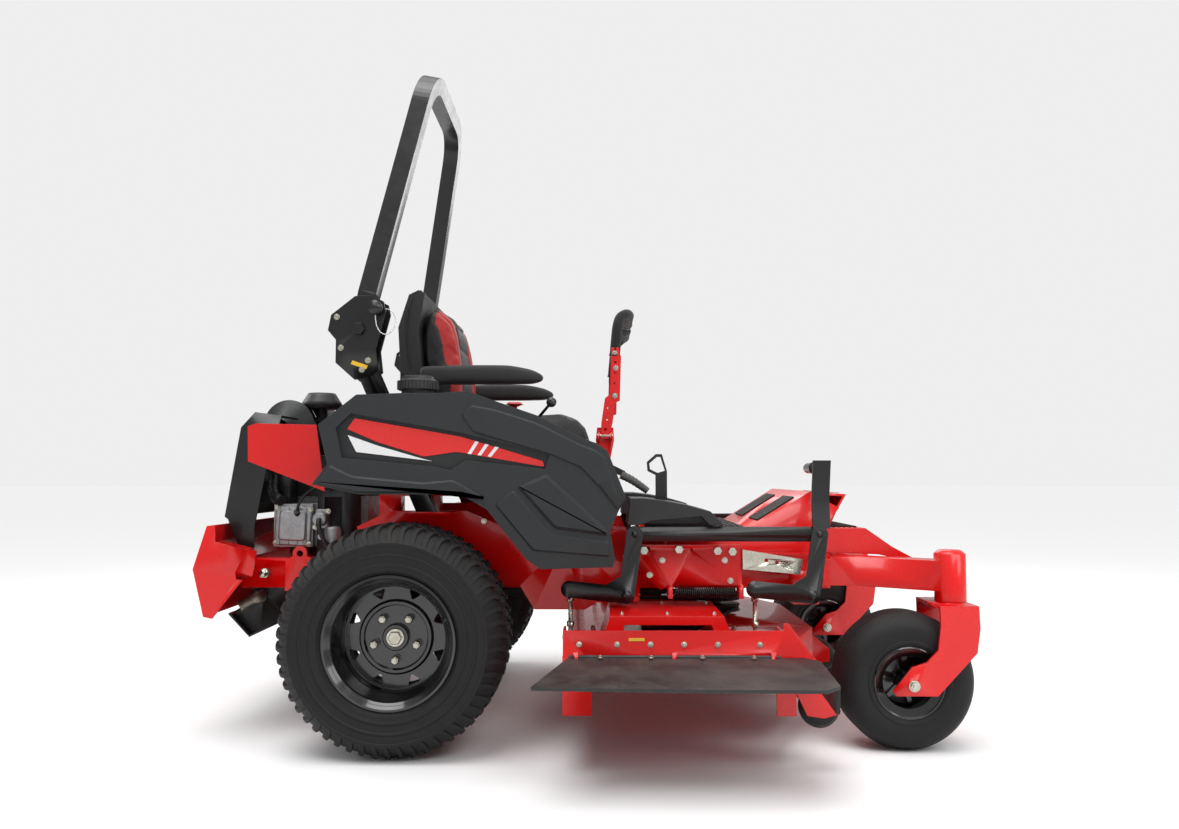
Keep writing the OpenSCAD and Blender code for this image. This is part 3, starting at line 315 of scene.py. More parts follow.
def piece(name, data, body, materials=None, replaces=(), bevel=0.0, angle=35.0):
    """A finished piece on its body, with its edges softened and its smooth faces shaded so."""
    if materials:
        chosen = [0] * len(data.polygons)
        data.polygons.foreach_get("material_index", chosen)
        data.materials.clear()
        for m in materials:
            data.materials.append(m)
        data.polygons.foreach_set("material_index", chosen)
    data.shade_smooth()
    data.set_sharp_from_angle(angle=math.radians(angle))
    obj = bpy.data.objects.new(name, data)
    bpy.context.scene.collection.objects.link(obj)
    if bevel:
        mod = obj.modifiers.new("edges", "BEVEL")
        mod.width = bevel / 1000
        mod.segments = 2
        mod.limit_method = "ANGLE"
        mod.angle_limit = math.radians(30)
        mod.harden_normals = True
        mod.use_clamp_overlap = True
    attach(obj, body)
    if replaces:
        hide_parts(*replaces)
    return obj


def refined(node, materials, bevel=0.0, angle=35.0, choose=None):
    """A node's own shape in its place; before a bevel its flat faces are merged."""
    bm = bmesh.new()
    bm.from_mesh(frame["nodes"][node].data)
    bmesh.ops.remove_doubles(bm, verts=bm.verts, dist=2e-6)
    if bevel:
        bmesh.ops.dissolve_limit(bm, angle_limit=math.radians(0.4), verts=bm.verts,
                                 edges=bm.edges, delimit=set())
    if choose:
        for f in bm.faces:
            f.material_index = choose(unplace(f.calc_center_median()), f.normal)
    else:
        for f in bm.faces:
            f.material_index = 0
    data = bpy.data.meshes.new(node + "_shape")
    bm.to_mesh(data)
    bm.free()
    return piece(node + "_finished", data, body_name(node), materials, (node,),
                 bevel, angle)


# ---- geometry node trees ----

class Wiring:
    """Makes and links the nodes of one tree."""

    def __init__(self, tree):
        self.tree = tree
        self.source = tree.nodes.new("NodeGroupInput")
        self.result = tree.nodes.new("NodeGroupOutput")

    def __call__(self, kind, inputs=None, **settings):
        made = self.tree.nodes.new(kind)
        for key, value in settings.items():
            setattr(made, key, value)
        for key, value in (inputs or {}).items():
            if isinstance(value, bpy.types.NodeSocket):
                self.tree.links.new(value, made.inputs[key])
            else:
                made.inputs[key].default_value = value
        return made

    def math(self, operation, a, b=None, c=None):
        spots = {i: v for i, v in enumerate((a, b, c)) if v is not None}
        kind = "ShaderNodeMath"
        return self(kind, spots, operation=operation).outputs[0]

    def end(self, name, socket):
        self.tree.links.new(socket, self.result.inputs[name])


def new_tree(name, kind, inputs, outputs):
    """A node group with named sockets, and its wiring."""
    tree = bpy.data.node_groups.new(name, kind)
    for label, socket, value in inputs:
        made = tree.interface.new_socket(label, in_out="INPUT", socket_type=socket)
        if value is not None:
            made.default_value = value
    for label, socket in outputs:
        tree.interface.new_socket(label, in_out="OUTPUT", socket_type=socket)
    return tree, Wiring(tree)


TREES = {}


def ring_tree():
    """Copies of a shape set evenly round an axis."""
    tree, add = new_tree("ring of copies", "GeometryNodeTree", [
        ("Shape", "NodeSocketGeometry", None), ("Count", "NodeSocketInt", 12),
        ("Axis", "NodeSocketVector", (0, 1, 0)), ("Start Angle", "NodeSocketFloat", 0.0),
        ("Centre", "NodeSocketVector", (0, 0, 0)), ("Finish", "NodeSocketMaterial", None),
    ], [("Geometry", "NodeSocketGeometry")])
    s = add.source.outputs
    index = add("GeometryNodeInputIndex").outputs[0]
    step = add.math("DIVIDE", math.tau, s["Count"])
    angle = add.math("MULTIPLY_ADD", index, step, s["Start Angle"])
    turn = add("FunctionNodeAxisAngleToRotation", {"Axis": s["Axis"], "Angle": angle})
    points = add("GeometryNodePoints", {"Count": s["Count"]})
    copies = add("GeometryNodeInstanceOnPoints", {
        "Points": points.outputs[0], "Instance": s["Shape"], "Rotation": turn.outputs[0]})
    real = add("GeometryNodeRealizeInstances", {0: copies.outputs[0]})
    moved = add("GeometryNodeTransform", {0: real.outputs[0], "Translation": s["Centre"]})
    done = add("GeometryNodeSetMaterial", {0: moved.outputs[0], "Material": s["Finish"]})
    add.end("Geometry", done.outputs[0])
    return tree


def row_tree():
    """Copies of a shape set in a straight row."""
    tree, add = new_tree("row of copies", "GeometryNodeTree", [
        ("Shape", "NodeSocketGeometry", None), ("Count", "NodeSocketInt", 12),
        ("Step", "NodeSocketVector", (0.01, 0, 0)), ("Finish", "NodeSocketMaterial", None),
    ], [("Geometry", "NodeSocketGeometry")])
    s = add.source.outputs
    line = add("GeometryNodeMeshLine", {"Count": s["Count"], "Offset": s["Step"]},
               mode="OFFSET")
    copies = add("GeometryNodeInstanceOnPoints", {
        "Points": line.outputs[0], "Instance": s["Shape"]})
    real = add("GeometryNodeRealizeInstances", {0: copies.outputs[0]})
    done = add("GeometryNodeSetMaterial", {0: real.outputs[0], "Material": s["Finish"]})
    add.end("Geometry", done.outputs[0])
    return tree


def bolt_tree():
    """A flanged hex head and its bolt end on each point, facing one way."""
    tree, add = new_tree("bolts on points", "GeometryNodeTree", [
        ("Points", "NodeSocketGeometry", None), ("Across", "NodeSocketFloat", 0.016),
        ("Height", "NodeSocketFloat", 0.008), ("Facing", "NodeSocketVector", (0, 0, 1)),
        ("Finish", "NodeSocketMaterial", None),
    ], [("Geometry", "NodeSocketGeometry")])
    s = add.source.outputs
    radius = add.math("DIVIDE", s["Across"], 1.732)
    half = add.math("MULTIPLY", s["Height"], 0.5)
    head = add("GeometryNodeMeshCylinder", {
        "Vertices": 6, "Radius": radius, "Depth": s["Height"]})
    lift = add("ShaderNodeCombineXYZ", {2: half})
    head = add("GeometryNodeTransform", {0: head.outputs[0], "Translation": lift.outputs[0]})
    flange = add("GeometryNodeMeshCylinder", {
        "Vertices": 20, "Radius": add.math("MULTIPLY", radius, 1.3),
        "Depth": add.math("MULTIPLY", s["Height"], 0.3)})
    shank = add("GeometryNodeMeshCylinder", {
        "Vertices": 12, "Radius": add.math("MULTIPLY", radius, 0.55),
        "Depth": add.math("MULTIPLY", s["Height"], 0.7)})
    top = add("ShaderNodeCombineXYZ", {2: s["Height"]})
    shank = add("GeometryNodeTransform", {0: shank.outputs[0], "Translation": top.outputs[0]})
    bolt = add("GeometryNodeJoinGeometry")
    for part in (head, flange, shank):
        tree.links.new(part.outputs[0], bolt.inputs[0])
    index = add("GeometryNodeInputIndex").outputs[0]
    spin = add("FunctionNodeAxisAngleToRotation", {
        "Axis": (0, 0, 1), "Angle": add.math("MULTIPLY", index, 0.7)})
    aim = add("FunctionNodeAlignRotationToVector", {
        "Vector": s["Facing"], "Rotation": spin.outputs[0]}, axis="Z")
    copies = add("GeometryNodeInstanceOnPoints", {
        "Points": s["Points"], "Instance": bolt.outputs[0], "Rotation": aim.outputs[0]})
    real = add("GeometryNodeRealizeInstances", {0: copies.outputs[0]})
    done = add("GeometryNodeSetMaterial", {0: real.outputs[0], "Material": s["Finish"]})
    add.end("Geometry", done.outputs[0])
    return tree


def coil_tree():
    """A wire coil of a given length, radius and number of turns, up the Z axis."""
    tree, add = new_tree("wire coil", "GeometryNodeTree", [
        ("Unused", "NodeSocketGeometry", None), ("Turns", "NodeSocketFloat", 12.0),
        ("Radius", "NodeSocketFloat", 0.012), ("Length", "NodeSocketFloat", 0.1),
        ("Wire", "NodeSocketFloat", 0.0015), ("Finish", "NodeSocketMaterial", None),
    ], [("Geometry", "NodeSocketGeometry")])
    s = add.source.outputs
    coil = add("GeometryNodeCurveSpiral", {
        "Resolution": 18, "Rotations": s["Turns"], "Start Radius": s["Radius"],
        "End Radius": s["Radius"], "Height": s["Length"]})
    wire = add("GeometryNodeCurvePrimitiveCircle", {"Resolution": 8, "Radius": s["Wire"]})
    solid = add("GeometryNodeCurveToMesh", {
        "Curve": coil.outputs[0], "Profile Curve": wire.outputs[0], "Fill Caps": True})
    real = add("GeometryNodeRealizeInstances", {0: solid.outputs[0]})
    done = add("GeometryNodeSetMaterial", {0: real.outputs[0], "Material": s["Finish"]})
    add.end("Geometry", done.outputs[0])
    return tree


def grown(tree_name, seed, **values):
    """The plain mesh that a tree grows from a seed mesh."""
    if tree_name not in TREES:
        TREES[tree_name] = {"ring": ring_tree, "row": row_tree, "bolts": bolt_tree,
                            "coil": coil_tree}[tree_name]()
    tree = TREES[tree_name]
    obj = bpy.data.objects.new("seed", seed)
    bpy.context.scene.collection.objects.link(obj)
    mod = obj.modifiers.new("grow", "NODES")
    mod.node_group = tree
    for item in tree.interface.items_tree:
        key = item.name.lower().replace(" ", "_")
        if item.item_type == "SOCKET" and item.in_out == "INPUT" and key in values:
            mod[item.identifier] = values[key]
    shape = obj.evaluated_get(bpy.context.evaluated_depsgraph_get())
    out = bpy.data.meshes.new_from_object(shape)
    bpy.data.objects.remove(obj)
    if not out.polygons:
        raise RuntimeError(tree_name + " grew nothing")
    return out


def bolts(points, facing, across=16, height=8, finish="zinc"):
    """Bolt heads at points in millimetres, as a mesh."""
    seed = bpy.data.meshes.new("bolt_points")
    seed.from_pydata([tuple(place(p)) for p in points], [], [])
    return grown("bolts", seed, across=across / 1000, height=height / 1000,
                 facing=facing, finish=FINISHES[finish])


def coil(a, b, radius, wire, turns, finish):
    """A coil spring between two points in millimetres, as a mesh."""
    a, b = place(a), place(b)
    seed = bpy.data.meshes.new("coil_seed")
    seed.from_pydata([(0, 0, 0)], [], [])
    data = grown("coil", seed, turns=float(turns), radius=radius / 1000, wire=wire / 1000,
                 length=(b - a).length, finish=FINISHES[finish])
    turn = Vector((0, 0, 1)).rotation_difference((b - a).normalized())
    data.transform(Matrix.Translation(a) @ turn.to_matrix().to_4x4())
    return data


def ring(form, count, centre, axis, finish, start=0.0):
    """A form's copies round an axis through centre, as a mesh; the form is about the axis."""
    return grown("ring", form.mesh(placed=False), count=count, axis=axis,
                 centre=tuple(place(centre)), start_angle=start, finish=FINISHES[finish])


def row(form, count, step, finish):
    """A form's copies in a row, as a mesh; step is in millimetres."""
    return grown("row", form.mesh(), count=count, step=tuple(v / 1000 for v in step),
                 finish=FINISHES[finish])


# ---- finishes ----

FINISHES = {}
EFFECTS = {}


def effects():
    """The shader groups that several finishes share."""
    tree, add = new_tree("mottle", "ShaderNodeTree", [
        ("Colour", "NodeSocketColor", (1, 1, 1, 1)), ("Shade", "NodeSocketColor", (0, 0, 0, 1)),
        ("Scale", "NodeSocketFloat", 6.0), ("Amount", "NodeSocketFloat", 0.5),
    ], [("Colour", "NodeSocketColor"), ("Value", "NodeSocketFloat")])
    s = add.source.outputs
    where = add("ShaderNodeTexCoord").outputs["Object"]
    cloud = add("ShaderNodeTexNoise", {"Vector": where, "Scale": s["Scale"], "Detail": 5.0,
                                       "Roughness": 0.62})
    fine = add("ShaderNodeTexNoise", {
        "Vector": where, "Scale": add.math("MULTIPLY", s["Scale"], 9.0), "Detail": 3.0})
    both = add.math("MULTIPLY_ADD", fine.outputs[0], 0.35,
                    add.math("MULTIPLY", cloud.outputs[0], 0.65))
    spread = add("ShaderNodeMapRange", {"Value": both, "From Min": 0.34, "From Max": 0.66})
    part = add.math("MULTIPLY", spread.outputs[0], s["Amount"])
    mix = add("ShaderNodeMix", {0: part, 6: s["Colour"], 7: s["Shade"]}, data_type="RGBA")
    add.end("Colour", mix.outputs[2])
    add.end("Value", spread.outputs[0])
    EFFECTS["mottle"] = tree

    tree, add = new_tree("edge wear", "ShaderNodeTree", [
        ("Width", "NodeSocketFloat", 0.003), ("Scale", "NodeSocketFloat", 60.0),
        ("Amount", "NodeSocketFloat", 0.5),
    ], [("Mask", "NodeSocketFloat")])
    s = add.source.outputs
    where = add("ShaderNodeTexCoord").outputs["Object"]
    soft = add("ShaderNodeBevel", {"Radius": s["Width"]}, samples=3)
    flat = add("ShaderNodeNewGeometry").outputs["Normal"]
    same = add("ShaderNodeVectorMath", {0: soft.outputs[0], 1: flat},
               operation="DOT_PRODUCT").outputs["Value"]
    edge = add("ShaderNodeMapRange", {"Value": same, "From Min": 0.995, "From Max": 0.86})
    chips = add("ShaderNodeTexNoise", {"Vector": where, "Scale": s["Scale"], "Detail": 4.0})
    broken = add("ShaderNodeMapRange", {
        "Value": chips.outputs[0], "From Min": 0.46, "From Max": 0.62})
    mask = add.math("MULTIPLY", add.math("MULTIPLY", edge.outputs[0], broken.outputs[0]),
                    s["Amount"])
    add.end("Mask", mask)
    EFFECTS["wear"] = tree

    tree, add = new_tree("dust", "ShaderNodeTree", [
        ("Scale", "NodeSocketFloat", 14.0), ("Amount", "NodeSocketFloat", 0.3),
    ], [("Mask", "NodeSocketFloat")])
    s = add.source.outputs
    where = add("ShaderNodeTexCoord")
    up = add("ShaderNodeSeparateXYZ", {0: where.outputs["Normal"]}).outputs[2]
    flat = add("ShaderNodeMapRange", {"Value": up, "From Min": -0.2, "From Max": 1.0})
    cloud = add("ShaderNodeTexNoise", {
        "Vector": where.outputs["Object"], "Scale": s["Scale"], "Detail": 6.0,
        "Roughness": 0.7})
    some = add("ShaderNodeMapRange", {
        "Value": cloud.outputs[0], "From Min": 0.38, "From Max": 0.72})
    mask = add.math("MULTIPLY", add.math("MULTIPLY", flat.outputs[0], some.outputs[0]),
                    s["Amount"])
    add.end("Mask", mask)
    EFFECTS["dust"] = tree

    tree, add = new_tree("fine grain", "ShaderNodeTree", [
        ("Scale", "NodeSocketFloat", 400.0), ("Detail", "NodeSocketFloat", 2.0),
    ], [("Height", "NodeSocketFloat")])
    s = add.source.outputs
    where = add("ShaderNodeTexCoord").outputs["Object"]
    grain = add("ShaderNodeTexNoise", {"Vector": where, "Scale": s["Scale"],
                                       "Detail": s["Detail"]})
    add.end("Height", grain.outputs[0])
    EFFECTS["fine"] = tree

    tree, add = new_tree("pebble grain", "ShaderNodeTree", [
        ("Scale", "NodeSocketFloat", 300.0), ("Detail", "NodeSocketFloat", 0.5),
    ], [("Height", "NodeSocketFloat")])
    s = add.source.outputs
    where = add("ShaderNodeTexCoord").outputs["Object"]
    warp = add("ShaderNodeTexNoise", {"Vector": where, "Scale": add.math(
        "MULTIPLY", s["Scale"], 0.35), "Detail": 2.0})
    bent = add("ShaderNodeVectorMath", {0: warp.outputs["Color"], 3: 0.004},
               operation="SCALE")
    spot = add("ShaderNodeVectorMath", {0: where, 1: bent.outputs[0]}, operation="ADD")
    cells = add("ShaderNodeTexVoronoi", {"Vector": spot.outputs[0], "Scale": s["Scale"]},
                feature="DISTANCE_TO_EDGE")
    crease = add("ShaderNodeMapRange", {
        "Value": cells.outputs[0], "From Min": 0.0, "From Max": s["Detail"]})
    add.end("Height", crease.outputs[0])
    EFFECTS["pebble"] = tree

    tree, add = new_tree("brushed streaks", "ShaderNodeTree", [
        ("Scale", "NodeSocketFloat", 60.0), ("Detail", "NodeSocketFloat", 12.0),
    ], [("Height", "NodeSocketFloat")])
    s = add.source.outputs
    where = add("ShaderNodeTexCoord").outputs["Object"]
    long = add("ShaderNodeMapping", {"Vector": where, "Scale": (1, 8, 8)})
    grain = add("ShaderNodeTexNoise", {"Vector": long.outputs[0], "Scale": s["Scale"],
                                       "Detail": s["Detail"]})
    add.end("Height", grain.outputs[0])
    EFFECTS["streaks"] = tree


def finish(name, colour, shade, rough=0.4, metal=0.0, coat=0.0, coat_rough=0.08,
           grain=("fine", 500.0, 2.0, 0.15), mottle=(6.0, 0.6), wear=None, dust=0.0,
           rough_range=0.08, specular=0.5, sheen=0.0, edge=0.0):
    """A material with mottled colour, worn edges, dust and a fine surface grain."""
    material = bpy.data.materials.new(name)
    material.use_nodes = True
    tree = material.node_tree
    tree.nodes.clear()

    def node(kind, inputs=None, **settings):
        made = tree.nodes.new(kind)
        for key, value in settings.items():
            setattr(made, key, value)
        for key, value in (inputs or {}).items():
            if isinstance(value, bpy.types.NodeSocket):
                tree.links.new(value, made.inputs[key])
            else:
                made.inputs[key].default_value = value
        return made

    surface = node("ShaderNodeBsdfPrincipled", {
        "Metallic": metal, "Roughness": rough, "Coat Weight": coat,
        "Coat Roughness": coat_rough, "Specular IOR Level": specular,
        "Sheen Weight": sheen})
    patches = node("ShaderNodeGroup", node_tree=EFFECTS["mottle"])
    patches.inputs["Colour"].default_value = (*colour, 1)
    patches.inputs["Shade"].default_value = (*shade, 1)
    patches.inputs["Scale"].default_value = mottle[0]
    patches.inputs["Amount"].default_value = mottle[1]
    tint = patches.outputs["Colour"]
    rougher = node("ShaderNodeMapRange", {
        "Value": patches.outputs["Value"], "To Min": max(rough - rough_range, 0.02),
        "To Max": min(rough + rough_range, 1.0)}).outputs[0]
    if wear:
        worn = node("ShaderNodeGroup", node_tree=EFFECTS["wear"])
        worn.inputs["Width"].default_value = wear[0]
        worn.inputs["Amount"].default_value = wear[1]
        tint = node("ShaderNodeMix", {0: worn.outputs[0], 6: tint, 7: (*wear[2], 1)},
                    data_type="RGBA").outputs[2]
    if dust:
        film = node("ShaderNodeGroup", node_tree=EFFECTS["dust"])
        film.inputs["Amount"].default_value = dust
        tint = node("ShaderNodeMix", {0: film.outputs[0], 6: tint,
                                      7: (*linear(150, 140, 125), 1)},
                    data_type="RGBA").outputs[2]
        rougher = node("ShaderNodeMath", {0: film.outputs[0], 1: 0.5, 2: rougher},
                       operation="MULTIPLY_ADD").outputs[0]
    tree.links.new(tint, surface.inputs["Base Color"])
    tree.links.new(rougher, surface.inputs["Roughness"])
    texture = node("ShaderNodeGroup", node_tree=EFFECTS[grain[0]])
    texture.inputs["Scale"].default_value = grain[1]
    texture.inputs["Detail"].default_value = grain[2]
    bump = node("ShaderNodeBump", {"Height": texture.outputs[0], "Strength": grain[3],
                                   "Distance": 0.001})
    if edge:
        soft = node("ShaderNodeBevel", {"Radius": edge}, samples=4)
        tree.links.new(soft.outputs[0], bump.inputs["Normal"])
    tree.links.new(bump.outputs[0], surface.inputs["Normal"])
    out = node("ShaderNodeOutputMaterial")
    tree.links.new(surface.outputs[0], out.inputs[0])
    FINISHES[name] = material
    return material


def all_finishes():
    """Every finish of the mower."""
    c = bpy.context.scene.mower_colours
    effects()
    red, deep = tuple(c.frame_red), tuple(v * 0.82 for v in c.frame_red)
    bare = linear(150, 150, 150)
    finish("frame_red", red, deep, 0.32, coat=0.35, coat_rough=0.08,
           grain=("fine", 260.0, 1.0, 0.10), wear=(0.0025, 0.2, linear(236, 70, 60)),
           specular=0.4, edge=0.0022)
    black = tuple(c.black_paint)
    finish("black_paint", black, tuple(v * 0.7 for v in black), 0.34, coat=0.12,
           grain=("fine", 420.0, 1.0, 0.14), wear=(0.002, 0.25, linear(80, 80, 81)), dust=0.03,
           edge=0.0022)
    finish("rim_black", black, tuple(v * 0.6 for v in black), 0.2, coat=0.7,
           grain=("fine", 260.0, 1.0, 0.08), wear=(0.002, 0.2, linear(90, 90, 90)),
           edge=0.0018)
    tyre = tuple(c.tyre_black)
    finish("tyre_rubber", tyre, tuple(v * 1.5 for v in tyre), 0.62,
           grain=("fine", 900.0, 4.0, 0.28), wear=(0.003, 0.3, linear(56, 55, 54)), dust=0.05,
           specular=0.3)
    tank = tuple(c.tank_charcoal)
    finish("tank_plastic", tank, tuple(v * 0.82 for v in tank), 0.5,
           grain=("fine", 1100.0, 3.0, 0.42), wear=(0.004, 0.3, linear(78, 80, 81)),
           dust=0.04, specular=0.38)
    # The tank plastic at half brightness, with no wear or dust: painted shade for the tank's
    # recessed panel, its scoop and a strip of the decal.
    finish("tank_dark", tuple(v * 0.5 for v in tank), tuple(v * 0.35 for v in tank), 0.6,
           grain=("fine", 1100.0, 3.0, 0.42))
    finish("cap_plastic", linear(30, 30, 31), linear(22, 22, 23), 0.45,
           grain=("fine", 900.0, 3.0, 0.3), wear=(0.002, 0.5, linear(78, 78, 78)), dust=0.1)
    vinyl = tuple(c.seat_black)
    finish("seat_vinyl", vinyl, tuple(v * 0.75 for v in vinyl), 0.42,
           grain=("pebble", 620.0, 0.12, 0.5), dust=0.05, specular=0.45)
    finish("seat_red_vinyl", tuple(c.seat_red), tuple(v * 0.8 for v in c.seat_red), 0.42,
           grain=("pebble", 620.0, 0.12, 0.5), specular=0.45)
    finish("seat_shell_plastic", linear(26, 26, 27), linear(20, 20, 21), 0.5,
           grain=("pebble", 900.0, 0.15, 0.35), wear=(0.003, 0.4, linear(70, 70, 70)))
    finish("armrest_foam", linear(24, 24, 25), linear(18, 18, 19), 0.55,
           grain=("pebble", 700.0, 0.15, 0.4), sheen=0.1)
    finish("foam_grip", linear(22, 22, 22), linear(14, 14, 14), 0.78,
           grain=("fine", 1500.0, 5.0, 0.8), sheen=0.15, specular=0.3)
    finish("brake_grip", linear(86, 88, 86), linear(66, 68, 66), 0.6,
           grain=("fine", 900.0, 3.0, 0.4))
    finish("engine_metal", linear(178, 178, 180), linear(120, 121, 124), 0.42, metal=0.85,
           grain=("fine", 700.0, 6.0, 0.7), mottle=(30.0, 0.6), dust=0.15, edge=0.002)
    finish("engine_plastic", linear(34, 34, 36), linear(24, 24, 26), 0.42,
           grain=("fine", 900.0, 3.0, 0.3), wear=(0.003, 0.3, linear(70, 70, 72)), dust=0.05,
           edge=0.002)
    finish("canister_plastic", linear(36, 38, 40), linear(28, 29, 31), 0.46,
           grain=("fine", 900.0, 3.0, 0.3), dust=0.05, edge=0.003)
    finish("exhaust_metal", linear(150, 144, 134), linear(92, 84, 76), 0.45, metal=0.9,
           grain=("fine", 300.0, 6.0, 0.5), mottle=(14.0, 0.9), edge=0.002)
    finish("drive_metal", linear(52, 53, 55), linear(36, 37, 39), 0.5, metal=0.3,
           grain=("fine", 420.0, 6.0, 0.8), dust=0.2)
    finish("zinc", linear(200, 198, 186), linear(158, 152, 132), 0.28, metal=1.0,
           grain=("streaks", 220.0, 4.0, 0.04), mottle=(45.0, 0.5), rough_range=0.12,
           edge=0.001)
    finish("bright_steel", linear(190, 190, 192), bare, 0.22, metal=1.0,
           grain=("streaks", 300.0, 4.0, 0.2))
    finish("spindle_steel", linear(110, 110, 112), linear(70, 68, 66), 0.42, metal=0.9,
           grain=("fine", 300.0, 5.0, 0.4), dust=0.2)
    finish("spring_steel", linear(40, 36, 36), linear(24, 22, 22), 0.35, metal=0.6,
           grain=("fine", 400.0, 3.0, 0.3))
    finish("belt_rubber", linear(26, 26, 26), linear(18, 18, 18), 0.8,
           grain=("streaks", 500.0, 3.0, 0.6))
    finish("cord_steel", linear(215, 215, 216), linear(180, 180, 182), 0.3, metal=0.9,
           grain=("streaks", 900.0, 2.0, 0.5))
    finish("hose_rubber", linear(20, 20, 20), linear(12, 12, 12), 0.45,
           grain=("fine", 500.0, 3.0, 0.3))
    finish("knob_red", linear(196, 24, 20), linear(160, 16, 14), 0.35, coat=0.3,
           grain=("fine", 500.0, 2.0, 0.2))
    finish("knob_black", linear(24, 24, 25), linear(18, 18, 18), 0.28, coat=0.3,
           grain=("fine", 500.0, 2.0, 0.15))
    finish("deflector_rubber", linear(34, 34, 34), linear(24, 24, 24), 0.5,
           grain=("fine", 500.0, 5.0, 0.5), wear=(0.003, 0.5, linear(80, 80, 80)), dust=0.14)
    finish("mat_rubber", linear(28, 28, 28), linear(20, 20, 20), 0.7,
           grain=("pebble", 260.0, 0.3, 0.6), dust=0.15)
    finish("decal_red", linear(212, 30, 26), linear(204, 26, 22), 0.25, coat=0.4,
           grain=("fine", 300.0, 1.0, 0.03), mottle=(8.0, 0.3))
    finish("decal_white", linear(226, 226, 226), linear(216, 216, 217), 0.25, coat=0.4,
           grain=("fine", 300.0, 1.0, 0.03), mottle=(8.0, 0.3))
    finish("label_yellow", linear(228, 182, 36), linear(216, 172, 34), 0.35, coat=0.3,
           grain=("fine", 300.0, 1.0, 0.03))
    finish("label_tan", linear(196, 176, 140), linear(184, 164, 128), 0.35, coat=0.3,
           grain=("fine", 300.0, 1.0, 0.03))


# ---- settings ----

def colour_setting(name, text, default):
    return bpy.props.FloatVectorProperty(name=name, description=text, default=default,
                                         subtype="COLOR", size=3, min=0.0, max=1.0)


class MowerColours(bpy.types.PropertyGroup):
    """The mower's colours."""

    frame_red: colour_setting("Frame Red", "Powder coat of the frame and deck",
                              linear(218, 7, 6))
    black_paint: colour_setting("Black Paint", "Paint of the roll bar, lift and rims",
                                linear(13, 13, 14))
    tank_charcoal: colour_setting("Tank Charcoal", "Moulded fuel tanks and covers",
                                  linear(38, 40, 42))
    tyre_black: colour_setting("Tyre Black", "Tread and sidewalls", linear(20, 20, 21))
    seat_black: colour_setting("Seat Black", "Seat covers", linear(20, 20, 21))
    seat_red: colour_setting("Seat Red", "Seat inserts", linear(172, 10, 9))
    floor_white: colour_setting("Floor", "Studio floor", (0.9, 0.9, 0.9))


def size_setting(name, text, default, low, high):
    return bpy.props.FloatProperty(name=name, description=text, default=default, min=low,
                                   max=high, subtype="DISTANCE", unit="LENGTH")


class MowerSizes(bpy.types.PropertyGroup):
    """Sizes of the trim."""

    tread_depth: size_setting("Tread Depth", "Height of the tread blocks", 0.008, 0.004, 0.014)
    tread_blocks: bpy.props.IntProperty(
        name="Tread Blocks", description="Shoulder blocks round one tyre", default=54,
        min=20, max=60)
    seat_swell: size_setting("Seat Swell", "How far the seat covers swell", 0.014, 0.004, 0.03)
    seam_depth: size_setting("Seam Depth", "Depth of the sewn channels", 0.006, 0.001, 0.012)
    edge_radius: size_setting("Edge Radius", "Rounding of the moulded tanks", 0.012, 0.002,
                              0.016)
    coil_wire: size_setting("Coil Wire", "Radius of the assist spring's wire", 0.0023,
                            0.001, 0.004)
    lens: bpy.props.FloatProperty(name="Lens", description="Camera lens in millimetres",
                                  default=28.6, min=15.0, max=120.0)


# ---- pieces ----

class Maker(bpy.types.Operator):
    """Base of the operators that make pieces."""

    bl_options = {"REGISTER"}

    def execute(self, context):
        self.make(context.scene.mower_sizes)
        return {"FINISHED"}


